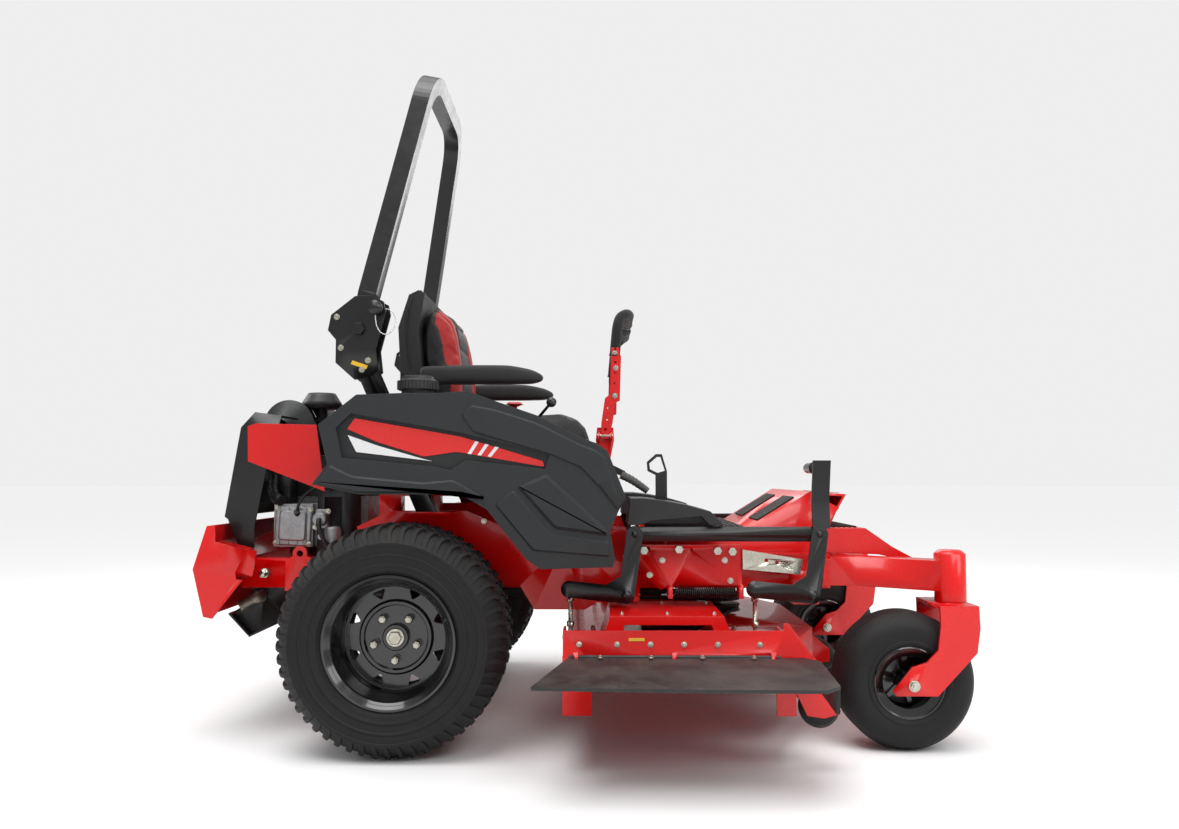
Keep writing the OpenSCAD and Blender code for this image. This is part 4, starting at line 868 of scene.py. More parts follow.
class MOWER_OT_stage(Maker):
    """Floor, backdrop, lights and camera"""

    bl_idname = "mower.stage"
    bl_label = "Studio"

    def make(self, sizes):
        scene = bpy.context.scene
        all_finishes()
        camera = bpy.data.objects.new("camera", bpy.data.cameras.new("camera"))
        camera.data.lens = sizes.lens
        camera.data.sensor_width = 36
        camera.location = (0.0635, -2.808, 0.705)
        camera.rotation_euler = (math.radians(93.63), 0, math.radians(0.64))
        scene.collection.objects.link(camera)
        scene.camera = camera
        scene.view_settings.view_transform = "Standard"
        world = bpy.data.worlds.new("studio")
        world.use_nodes = True
        nodes = world.node_tree.nodes
        nodes["Background"].inputs[0].default_value = (1, 1, 1, 1)
        seen = nodes.new("ShaderNodeLightPath").outputs["Is Camera Ray"]
        strength = nodes.new("ShaderNodeMapRange")
        strength.inputs["To Min"].default_value = 0.55
        strength.inputs["To Max"].default_value = 0.86
        world.node_tree.links.new(seen, strength.inputs["Value"])
        world.node_tree.links.new(strength.outputs[0], nodes["Background"].inputs[1])
        scene.world = world
        disc = Form().lathe([(1, 0), (3000, 0), (60000, 0)], (0, 0, 0), "z", 72,
                            closed=False)
        data = disc.mesh("floor", placed=False)
        if data.polygons[0].normal.z < 0:
            data.flip_normals()
        pale = finish("floor_white", tuple(bpy.context.scene.mower_colours.floor_white),
                      (0.88, 0.88, 0.88), 0.7, grain=("fine", 60.0, 2.0, 0.02),
                      mottle=(0.5, 0.3), specular=0.1)
        data.materials.append(pale)
        data.shade_smooth()
        floor = bpy.data.objects.new("floor", data)
        scene.collection.objects.link(floor)
        sky = bpy.data.lights.new("sky", "SUN")
        sky.energy = 1.5
        sky.angle = math.radians(40)
        obj = bpy.data.objects.new("sky", sky)
        obj.rotation_euler = (math.radians(14), math.radians(-10), 0)
        scene.collection.objects.link(obj)
        lights = (("key", (2.0, -3.4, 3.9), (2.6, 1.6), 60.0),
                  ("front", (3.8, -2.4, 2.6), (1.8, 1.8), 35.0),
                  ("top", (0.0, 0.2, 4.6), (4.0, 3.0), 50.0),
                  ("rear", (-3.6, 1.4, 2.6), (1.8, 1.8), 30.0),
                  ("far", (1.2, 3.8, 3.0), (2.6, 1.4), 30.0))
        for name, at, size, power in lights:
            lamp = bpy.data.lights.new(name, "AREA")
            lamp.shape = "RECTANGLE"
            lamp.size, lamp.size_y = size
            lamp.energy = power
            obj = bpy.data.objects.new(name, lamp)
            obj.location = at
            aim = Vector((0, 0, 0.6)) - Vector(at)
            obj.rotation_euler = aim.to_track_quat("-Z", "Y").to_euler()
            scene.collection.objects.link(obj)


class MOWER_OT_lanyard(Maker):
    """Wire loop that ties the lock pin to its bracket"""

    bl_idname = "mower.lanyard"
    bl_label = "Pin Lanyard"

    def make(self, sizes):
        route = [(-59.3, -437, 1150), (-48, -438, 1148), (-38, -440, 1140),
                 (-31, -443, 1127), (-29, -447, 1112), (-32, -451, 1098),
                 (-39, -454, 1086), (-48, -456, 1079), (-58, -457, 1078),
                 (-67, -458, 1083), (-74, -458, 1092), (-79, -458, 1104),
                 (-81, -458, 1117), (-82, -458, 1130)]
        wire = Form().tube(route, 1.5, 10)
        obj = piece("pin_lanyard_wire", wire.mesh(), body_name("pin_lanyard"),
                    [FINISHES["cord_steel"]], ("pin_lanyard",))


class MOWER_OT_tyres(Maker):
    """Rear tyres with turf tread"""

    bl_idname = "mower.tyres"
    bl_label = "Rear Tyres"

    def make(self, sizes):
        low, high = RIGHT_TYRE
        radius = (high.z - low.z) * 500
        half = (high.y - low.y) * 500
        depth = sizes.tread_depth * 1000
        bead = RIM_BEAD
        road = radius - depth

        def crown(t):
            """Radius and distance from the middle of the tread, t from 0 to 1 at the wall."""
            d = half * (0.08 + 0.90 * t)
            drop = 4 * t ** 2 + 34 * max(t - 0.62, 0) ** 1.6 / 0.38 ** 1.6
            return road - drop, d

        wall = [(bead + 0.3, half - 26), (bead + 12, half - 22), (bead + 20, half - 15),
                (bead + 24, half - 8), (bead + 34, half - 6), (bead + 37, half - 4),
                (bead + 41, half - 4), (bead + 44, half - 6), (bead + 60, half - 2.5),
                (bead + 62, half - 0.8), (bead + 66, half - 0.8), (bead + 68, half - 2.5),
                (radius - 66, half - 1), (radius - 52, half - 2), (radius - 50, half - 0.6),
                (radius - 44, half - 0.8), (radius - 42, half - 3)]
        tread = [crown(t / 8) for t in range(8, -1, -1)]
        side = wall + [(r, d) for r, d in tread]
        profile = [(r, -d) for r, d in side] + [(r, d) for r, d in side[::-1]]
        count = sizes.tread_blocks
        for label, s in SIDES:
            centre = (0, s * (half + abs(unplace(RIGHT_TYRE[1] if s < 0 else LEFT_TYRE[0]).y)),
                      radius)
            carcass = Form().lathe(profile, centre, "y", 144).mesh()
            carcass.materials.append(FINISHES["tyre_rubber"])
            parts = [carcass]
            for out in (-1, 1):
                parts.append(ring(self.bar(crown, depth, radius, half, out), count, centre,
                                  (0, 1, 0), "tyre_rubber",
                                  0 if out < 0 else math.pi / count))
                parts.append(ring(self.stud(road, depth, out * 22, out), count, centre,
                                  (0, 1, 0), "tyre_rubber", math.pi / count / 2 * out))
            node = "rear_tyre_" + label
            tyre = joined("rear_tyre_" + label, parts)
            piece(node + "_treaded", tyre, body_name(node), None, (node,),
                  angle=28)

    def bar(self, crown, depth, radius, half, out):
        """A shoulder block that bends from the tread over the shoulder."""
        rings = []
        for k in range(7):
            t = 0.36 + 0.64 * k / 6
            r, d = crown(t)
            width = 5.4 + 2.0 * (k / 6)
            lean = 0.030 * (1 - k / 6) ** 1.5 + 0.014 * math.sin(k / 6 * 7)
            top = depth * (1 - 0.45 * (k / 6) ** 3)
            ring_points = []
            for side, lift in ((-1, -3), (-0.82, top), (0.82, top), (1, -3)):
                a = lean + side * width / radius
                rr = r + lift * (1 if k < 4 else 0.8)
                dd = d + (lift if lift > 0 else 0) * (0.0 if k < 4 else 0.16)
                ring_points.append((rr * math.sin(a), out * min(dd, half - 0.5),
                                    rr * math.cos(a)))
            rings.append(ring_points)
        return Form().loft(rings)

    def stud(self, road, depth, offset, out):
        """A slanted block near the middle of the tread."""
        rings = []
        for k in range(3):
            d = offset + (k - 1) * 15
            lean = (k - 1) * 0.022 * out
            rings.append([((road + lift - 1) * math.sin(lean + a / road),
                           d, (road + lift - 1) * math.cos(lean + a / road))
                          for a, lift in ((-7, -2), (-5.6, depth), (5.6, depth), (7, -2))])
        return Form().loft(rings)


class MOWER_OT_rims(Maker):
    """Rear rims with valve stems, caps and axle nuts"""

    bl_idname = "mower.rims"
    bl_label = "Rear Rims"

    def make(self, sizes):
        mid, h, lip, bead = -TYRE_MID, RIM_HALF, RIM_LIP, RIM_BEAD
        hub = (0, 0, AXLE_HIGH)
        barrel = Form().lathe([(r, mid + d) for r, d in (
            (lip - 6, -h + 14), (lip, -h + 15), (lip, -h + 20), (bead, -h + 22),
            (bead, -h + 46), (bead - 14, -h + 64), (bead - 14, h - 64), (bead, h - 46),
            (bead, h - 22), (lip, h - 20), (lip, h - 15), (lip - 6, h - 14),
            (bead - 6, h - 28), (bead - 6, h - 46), (bead - 20, h - 66),
            (bead - 20, 66 - h), (bead - 6, 46 - h), (bead - 6, 28 - h))], hub, "y", 120)
        turn = [k * math.pi / 36 for k in range(72)]
        rim_edge = [(134 * math.cos(a), AXLE_HIGH + 134 * math.sin(a)) for a in turn]
        vents = []
        for k in range(8):
            a = math.radians(22.5 + 45 * k)
            corners = [(r * math.cos(a + w), AXLE_HIGH + r * math.sin(a + w))
                       for r, w in ((127, -0.15), (127, 0.15), (99, 0))]
            vents.append(rounded(corners, 8, 4))
        barrel.plate(rim_edge, [(0, AXLE_HIGH, 30)] + vents, mid - 19, mid - 12)
        barrel.lathe([(79, mid - 18), (83, mid - 27), (90, mid - 27), (96, mid - 18)], hub,
                     "y", 96)
        barrel.lathe([(18, mid - 34), (31, mid - 34), (34, mid - 31), (34, mid + 6),
                      (30, mid + 6), (18, mid - 20)], hub, "y", 64)
        plated = Form()
        plated.lathe([(0.5, mid - 38), (22, mid - 38), (24, mid - 36), (24, mid - 30),
                      (0.5, mid - 30)], hub, "y", 40)
        plated.lathe([(0.5, mid - 45), (16, mid - 45), (18, mid - 43), (18, mid - 36),
                      (0.5, mid - 36)], hub, "y", 6)
        nut = Form().lathe([(0.5, -23), (9, -23), (11.5, -20), (11.5, -1), (14, 0), (14, 2),
                            (0.5, 2)], (LUG_RADIUS, 0, 0), "y", 6)
        nut.lathe([(0.5, -28), (6, -28), (6.5, -22), (0.5, -22)], (LUG_RADIUS, 0, 0), "y", 20)
        for label, s in SIDES:
            node = "rear_rim_" + label
            forms = [f if s < 0 else f.mirrored() for f in (barrel, plated, nut)]
            black, silver = forms[0].mesh(), forms[1].mesh()
            black.materials.append(FINISHES["rim_black"])
            silver.materials.append(FINISHES["zinc"])
            nuts = ring(forms[2], 5, (0, s * 519.5, AXLE_HIGH), (0, 1, 0), "zinc",
                        math.radians(18))
            piece(node + "_turned", joined(node, [black, silver, nuts]), body_name(node),
                  None, (node,))
            y = s * 590
            stem = Form().tube([(128, y - s * 14, 342), (134, y, 344),
                                (138, y + s * 16, 346)], 3.5, 10)
            stem.tube([(138, y + s * 16, 346), (140, y + s * 26, 346.6)], 4.4, 10)
            piece("valve_stem_" + label, stem.mesh(), body_name(node),
                  [FINISHES["hose_rubber"]])


class MOWER_OT_casters(Maker):
    """Front caster wheels with smooth ribbed tyres"""

    bl_idname = "mower.casters"
    bl_label = "Caster Wheels"

    def make(self, sizes):
        for label, _ in SIDES:
            node = "caster_wheel_" + label
            low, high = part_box(node)
            centre = unplace((low + high) / 2)
            radius, half = (high.z - low.z) * 500, (high.y - low.y) * 500
            bead = 76
            side = [(bead + 1, half - 20), (bead + 10, half - 15), (bead + 14, half - 9),
                    (bead + 22, half - 5), (bead + 26, half - 3), (bead + 29, half - 3),
                    (bead + 31, half - 4.5), (bead + 46, half - 0.6), (bead + 60, half - 0.6),
                    (radius - 30, half - 4), (radius - 20, half - 10), (radius - 12, half - 19),
                    (radius - 6, half - 31)]
            grooves = []
            d = half - 40
            while d > 4:
                grooves += [(radius - 0.6, d), (radius - 0.6, d - 9), (radius - 4, d - 10),
                            (radius - 4, d - 13)]
                d -= 14
            half_profile = side + grooves
            profile = ([(r, -q) for r, q in half_profile]
                       + [(r, q) for r, q in half_profile[::-1]])
            tyre = Form().lathe(profile, centre, "y", 112)
            hub = Form().lathe([
                (13, -half), (21, -half), (23, -half + 4), (23, -27), (30, -17), (60, -13),
                (bead - 10, -20), (bead - 10, -half + 18), (bead + 9, -half + 11),
                (bead + 9, -half + 7), (bead + 12, -half + 5.5), (bead + 15, -half + 7),
                (bead + 15, -half + 12), (bead, -half + 19), (bead, half - 19),
                (bead + 15, half - 12), (bead + 15, half - 7), (bead + 12, half - 5.5),
                (bead + 9, half - 7), (bead + 9, half - 11), (bead - 10, half - 18),
                (bead - 10, 20), (60, 13), (30, 17), (23, 27), (23, half - 4), (21, half),
                (13, half)], centre, "y", 96)
            piece("caster_tyre_" + label, tyre.mesh(), body_name(node),
                  [FINISHES["tyre_rubber"]], angle=40)
            ribs = Form().slab(rounded([(26, 8), (60, 5), (60, -5), (26, -8)], 2), -24, 24)
            spokes = ring(ribs, 6, centre, (0, 1, 0), "rim_black", 0.3)
            rim = hub.mesh()
            rim.materials.append(FINISHES["rim_black"])
            piece("caster_rim_" + label, joined("caster_rim", [rim, spokes]),
                  body_name(node), None, (node,), angle=32)


class MOWER_OT_bodywork(Maker):
    """Painted, plated and moulded pieces that keep their frame shapes"""

    bl_idname = "mower.bodywork"
    bl_label = "Bodywork"

    def make(self, sizes):
        plan = {
            "frame_paint": ("frame_red", (
                "main_frame", "front_arms", "rear_bumper", "deck_shell", "belt_covers",
                "foot_plate", "caster_fork_right", "caster_fork_left", "control_arm_right",
                "control_arm_left")),
            "black_paint": ("black_paint", (
                "rops_uprights", "rops_hoop", "rops_pin_right",
                "rops_pin_left", "deck_lock_lever", "lift_pedal", "rear_lift_crank",
                "lift_links", "seat_base")),
            "zinc": ("zinc", ("zinc_hardware", "deck_hangers")),
            "exhaust_metal": ("exhaust_metal", ("muffler",)),
            "engine_metal": ("engine_metal", ("engine_block",)),
            "engine_plastic": ("engine_plastic", ("engine_shroud",)),
            "drive_metal": ("drive_metal", ("transaxles",)),
            "spindle_steel": ("spindle_steel", (
                "spindle_right", "spindle_middle", "spindle_left", "engine_pulley")),
            "belt_rubber": ("belt_rubber", ("deck_belt", "engine_belt")),
            "knob_plastic": ("knob_black", ("throttle_lever",)),
            "tyre_rubber": ("mat_rubber", (
                "roller_right", "roller_middle", "roller_left")),
        }
        for slot, (look, nodes) in plan.items():
            for node in nodes:
                refined(node, [FINISHES[look]])

        refined("engine_guards", [FINISHES["black_paint"]])
        wing = [(-464, 838), (-440, 846), (-272, 842), (-244, 656), (-461, 740)]
        for label, s in SIDES:
            form = Form().slab(wing, s * 338, s * 334.5)
            piece("fender_wing_" + label, form.mesh(), body_name("engine_guards"),
                  [FINISHES["frame_red"]])

        def filter_parts(p, normal):
            if (p.x + 322) ** 2 + (p.y + 120) ** 2 < 66 ** 2 and p.z > 861:
                return 1
            return 2 if p.y < -179 or p.z < 760 else 0
        refined("air_cleaner", [
            FINISHES["canister_plastic"], FINISHES["cap_plastic"], FINISHES["hose_rubber"]],
            choose=filter_parts)
        refined("front_covers", [FINISHES["tank_plastic"]], 4.0)
        refined("deflector", [FINISHES["deflector_rubber"]])
        refined("seat_shell", [FINISHES["seat_shell_plastic"]], 7.0)
        refined("pto_knob", [FINISHES["knob_red"]])


class MOWER_OT_tanks(Maker):
    """Moulded fuel tanks with raised facets and plain stripes; the recessed panel, the scoop and
    a decal strip are in painted shade
    """

    bl_idname = "mower.tanks"
    bl_label = "Fuel Tanks"

    def make(self, sizes):
        face = TANK_FACE
        facets = Form()
        upper = [(306, 672), (383, 706), (538, 563), (541, 546), (404, 564)]
        lower = [(248, 626), (297, 664), (397, 552), (543, 533), (546, 492), (348, 507)]
        band = [(-180, 729), (-120, 700), (60, 683), (142, 690), (228, 640), (160, 655),
                (0, 655), (-100, 655), (-214, 681)]
        crest = [(190, 812), (396, 752), (470, 720), (548, 636), (566, 655), (535, 748),
                 (508, 768), (470, 782), (356, 838), (250, 872), (186, 884), (158, 860)]
        for outline, height, chamfer in ((upper, 9, 8), (lower, 5, 5), (band, 5, 5),
                                         (crest, 5, 5)):
            facets.slab(rounded(outline, 8, 3), -face - height, -face + 1, 0, chamfer)
        scoop = rounded([(516, 680), (533, 690), (578, 643), (567, 613), (546, 640)], 5, 3)
        # The scoop is coloured all over with the half-bright tank plastic, a painted shade.
        facets.slab(scoop, -face - 7, -face, 1, 1.5)
        red = [(-119, 850), (-139, 822), (-60, 788), (62, 750), (144, 762), (157, 761),
               (376, 723), (372, 738), (157, 802)]
        white = [(-137, 806), (-114, 762), (86, 738), (60, 744), (-60, 779)]
        for label, s in SIDES:
            node = "fuel_tank_" + label
            materials = [FINISHES["tank_plastic"], FINISHES["tank_dark"]]

            # Faces of the recessed panel at 508 mm take the half-bright tank plastic: painted
            # shade in the recess.
            def painted_shade_recess(p, normal):
                return 1 if abs(abs(p.y) - 508) < 1 and abs(normal.y) > 0.9 else 0
            refined(node, materials, sizes.edge_radius * 1000 * 0.6,
                    choose=painted_shade_recess)
            form = facets if s < 0 else facets.mirrored()
            piece("tank_facets_" + label, form.mesh(), body_name(node),
                  materials, bevel=1.6)
            decal = Form()
            decal.slab(rounded(red, 3, 2), -509.6, -507.5, 0)
            decal.slab(white, -509.6, -507.5, 1)
            # The strip between the red and white parts takes the half-bright tank plastic, the
            # same painted shade as the recess.
            decal.slab([(-136, 812), (-134, 806), (60, 744), (66, 746), (-60, 784)],
                       -509.4, -507.5, 2)
            for k in range(3):
                x = 196 + k * 26
                decal.slab([(x, 790 - k * 7), (x + 9, 788 - k * 7), (x - 11, 756 - k * 3.5),
                            (x - 20, 757.5 - k * 3.5)], -510.0, -507.6, 1)
            decal = decal if s < 0 else decal.mirrored()
            piece("tank_stripes_" + label, decal.mesh(), body_name(node),
                  [FINISHES["decal_red"], FINISHES["decal_white"], FINISHES["tank_dark"]])


class MOWER_OT_caps(Maker):
    """Ribbed fuel caps"""

    bl_idname = "mower.caps"
    bl_label = "Fuel Caps"

    def make(self, sizes):
        for label, _ in SIDES:
            node = "fuel_cap_" + label
            low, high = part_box(node)
            c = unplace((low + high) / 2)
            base, top = low.z * 1000, high.z * 1000
            r = (high.x - low.x) * 500
            cap = Form().lathe([
                (42, base), (r - 5, base), (r - 3, base + 2), (r - 3, top - 14),
                (r - 8, top - 10), (r - 12, top - 8), (r - 14, top - 2), (r - 18, top),
                (24, top), (22, top - 3), (0.5, top - 3), (0.5, top - 8), (38, top - 12),
                (42, top - 16)], (c.x, c.y, 0), "z", 72)
            bar = Form().block((-r + 20, -5, top - 3.5), (r - 20, 5, top - 0.5))
            bar.points = [p + Vector((c.x, c.y, 0)) for p in bar.points]
            rib = Form().loft([[(r - 4, -2.6, z), (r - 1.2, -2.0, z), (r - 0.4, 0, z),
                                (r - 1.2, 2.0, z), (r - 4, 2.6, z)]
                               for z in (base + 2, base + 4, top - 16, top - 13)])
            ribs = ring(rib, 36, (c.x, c.y, 0), (0, 0, 1), "cap_plastic")
            body = joined("cap", [cap.mesh(), bar.mesh()])
            body.materials.append(FINISHES["cap_plastic"])
            piece("fuel_cap_ribbed_" + label, joined("fuel_cap", [body, ribs]),
                  body_name(node), None, (node,))


def cushion(name, form, node, seams, red_test, sizes):
    """A sewn cushion: the form swells under pressure, then its seams are drawn in.

    seams gives a millimetre point's distance to the nearest seam, and red_test says whether
    the point is in the red insert.
    """
    obj = bpy.data.objects.new(name, form.mesh())
    bpy.context.scene.collection.objects.link(obj)
    mod = obj.modifiers.new("remesh", "REMESH")
    mod.mode = "VOXEL"
    mod.voxel_size = 0.0065
    flat = bpy.data.meshes.new_from_object(
        obj.evaluated_get(bpy.context.evaluated_depsgraph_get()))
    obj.modifiers.clear()
    obj.data = flat
    rest = [v.co.copy() for v in flat.vertices]
    scene = bpy.context.scene
    cloth = obj.modifiers.new("cloth", "CLOTH")
    cloth.settings.use_pressure = True
    cloth.settings.uniform_pressure_force = 4.0
    cloth.settings.effector_weights.gravity = 0
    cloth.settings.quality = 4
    cloth.point_cache.frame_start = 1
    cloth.point_cache.frame_end = 20
    for number in range(1, 21):
        scene.frame_set(number)
    shape = obj.evaluated_get(bpy.context.evaluated_depsgraph_get())
    spots = [v.co.copy() for v in shape.data.vertices]
    obj.modifiers.clear()
    scene.frame_set(1)
    for v, a, b in zip(flat.vertices, rest, spots):
        move = b - a
        v.co = a + move * min(1.0, sizes.seat_swell / max(move.length, 1e-9))
    flat.update()
    bm = bmesh.new()
    bm.from_mesh(flat)
    for _ in range(3):
        bmesh.ops.smooth_vert(bm, verts=bm.verts, factor=0.5, use_axis_x=True,
                              use_axis_y=True, use_axis_z=True)
    bmesh.ops.subdivide_edges(bm, edges=bm.edges, cuts=1, use_grid_fill=True,
                              smooth=0.6)
    bm.normal_update()
    normals = [v.normal.copy() for v in bm.verts]
    for v, normal in zip(bm.verts, normals):
        away = seams(unplace(v.co))
        v.co -= normal * sizes.seam_depth * math.exp(-(away / 5.5) ** 2)
        v.co -= normal * sizes.seam_depth * 0.5 * math.exp(-(away / 18) ** 2)
    for f in bm.faces:
        f.material_index = 1 if red_test(unplace(f.calc_center_median())) else 0
    bm.to_mesh(flat)
    bm.free()
    data = obj.data
    bpy.data.objects.remove(obj)
    out = piece(name, data, body_name(node),
                [FINISHES["seat_vinyl"], FINISHES["seat_red_vinyl"]], (node,), angle=180)
    return out


class MOWER_OT_seat(Maker):
    """Padded seat and back with sewn channels and red inserts"""

    bl_idname = "mower.seat"
    bl_label = "Seat"

    def make(self, sizes):
        low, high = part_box("seat_cushion")
        a, b = unplace(low), unplace(high)
        shrink = 9
        x0, x1 = a.x + shrink, b.x - shrink
        y1 = b.y - shrink
        z0, z1 = a.z + 3, b.z - 10
        rings = []
        for k in range(25):
            y = -y1 + 2 * y1 * k / 24
            t = abs(y) / y1
            pull = 26 * max(t - 0.82, 0) ** 2 / 0.0324
            bolster = 9 * math.exp(-((t - 0.80) / 0.12) ** 2)
            dish = -10 * max(1 - (t / 0.62) ** 2, 0)
            top = z1 + bolster + dish - pull * 0.8
            rings.append([(x, y, z) for x, z in (
                (x0 + pull, z0), (x0 + pull, (z0 + top) / 2), (x0 + pull + 4, top + 2),
                (x0 + 60, top + 2), (x0 + 170, top - 5), (x0 + 290, top - 4),
                (x1 - 90, top + 1), (x1 - 40 - pull, top - 8), (x1 - 12 - pull, top - 30),
                (x1 - pull, top - 56), (x1 - 8 - pull, z0))])
        seat = Form().loft(rings)

        def seat_seams(p):
            if p.z < z0 + 22:
                return 99.0
            lanes = [abs(abs(p.y) - 92), abs(abs(p.y) - 150)]
            if abs(p.y) < 92:
                lanes += [abs(p.x - x) for x in (x0 + 90, x0 + 180, x0 + 270, x0 + 360)]
            return min(lanes)

        def seat_red(p):
            return 92 < abs(p.y) < 150 and p.z > z0 + 22
        cushion("seat_cushion_sewn", seat, "seat_cushion", seat_seams, seat_red, sizes)

        low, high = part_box("back_cushion")
        a, b = unplace(low), unplace(high)
        y1 = b.y - shrink
        rings = []
        z0 = a.z + 6
        rise = b.z - 8 - z0
        heights = (0, 0.10, 0.30, 0.50, 0.70, 0.86, 0.96, 1.0)
        rear = (16, 16.5, 9, 3, -1, 2, 14, 22)
        front = (94, 92, 90, 86, 76, 62, 44, 34)
        for k in range(25):
            y = -y1 + 2 * y1 * k / 24
            t = abs(y) / y1
            pull = 26 * max(t - 0.80, 0) ** 2 / 0.04
            bolster = 7 * math.exp(-((t - 0.78) / 0.13) ** 2)
            drop = 42 * max(t - 0.45, 0) ** 2 / 0.3025
            line = []
            for h, r, f in zip(heights, rear, front):
                line.append((r + pull * 0.2, y, z0 + h * (rise - drop)))
            for h, r, f in zip(heights[::-1], rear[::-1], front[::-1]):
                swell = bolster * (1 - h) + 4 * math.sin(h * 9.5) * (t < 0.45)
                line.append((max(f + swell - pull, r + 8), y, z0 + h * (rise - drop)))
            rings.append(line)
        back = Form().loft(rings)

        def back_seams(p):
            if p.x < 24:
                return 99.0
            lanes = [abs(abs(p.y) - 100), abs(abs(p.y) - 158)]
            if abs(p.y) < 100:
                lanes += [abs(p.z - z0 - h) for h in (70, 140, 210, 280)]
            return min(lanes)

        def back_red(p):
            return 100 < abs(p.y) < 205 and p.x > 34
        cushion("back_cushion_sewn", back, "back_cushion", back_seams, back_red, sizes)

        welt = Form()
        shell = body_name("seat_shell")
        edge = [(-4, -246, 900), (-26, -246, 1000), (-40, -246, 1100), (-38, -246, 1170),
                (-24, -244, 1216), (-6, -236, 1236), (-5, -200, 1240), (-5, 0, 1241),
                (-5, 200, 1240), (-6, 236, 1236), (-24, 244, 1216), (-38, 246, 1170),
                (-40, 246, 1100), (-26, 246, 1000), (-4, 246, 900)]
        welt.tube(flow(edge, 5), 3.2, 8)
        piece("seat_shell_welt", welt.mesh(), shell, [FINISHES["seat_vinyl"]])


class MOWER_OT_armrests(Maker):
    """Moulded armrests with drooping tips"""

    bl_idname = "mower.armrests"
    bl_label = "Armrests"

    def make(self, sizes):
        for label, s in SIDES:
            node = "armrest_" + label
            reach = unplace(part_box(node)[1]).x
            middle, half = s * 292, 27
            rings = []
            for k in range(21):
                t = k / 20
                x = 8 + (reach - 10) * t
                top = 1010 + 4 * math.sin(t * 3.1) - 18 * max(t - 0.72, 0) / 0.28 * t
                low_z = 952 + 6 * min(t * 4, 1) + 8 * max(t - 0.7, 0)
                if t > 0.93:
                    top -= 9 * (t - 0.93) / 0.07
                    low_z += 10 * (t - 0.93) / 0.07
                width = half * (0.78 + 0.22 * math.sin(min(t * 1.6, 1) * math.pi / 2))
                width *= 1 - 0.35 * max(t - 0.9, 0) / 0.1
                mid, tall = (top + low_z) / 2, (top - low_z) / 2
                line = []
                for a in range(20):
                    w = a * math.tau / 20
                    cw, sw = math.cos(w), math.sin(w)
                    e = 0.62
                    line.append((x, middle + width * math.copysign(abs(cw) ** e, cw),
                                 mid + tall * math.copysign(abs(sw) ** e, sw)))
                rings.append(line)
            pad = Form().loft(rings)
            obj = piece("armrest_pad_" + label, pad.mesh(), body_name(node),
                        [FINISHES["armrest_foam"]], (node,), angle=180)
            mod = obj.modifiers.new("smooth", "SUBSURF")
            mod.levels = mod.render_levels = 1
            hub = Form().lathe([(8, 246), (20, 246), (22, 249), (22, 262), (19, 266),
                                (8, 266)], (28, 0, 980), "y", 40)
            hub = hub if s > 0 else hub.mirrored()
            piece("armrest_hub_" + label, hub.mesh(), body_name(node),
                  [FINISHES["seat_shell_plastic"]])


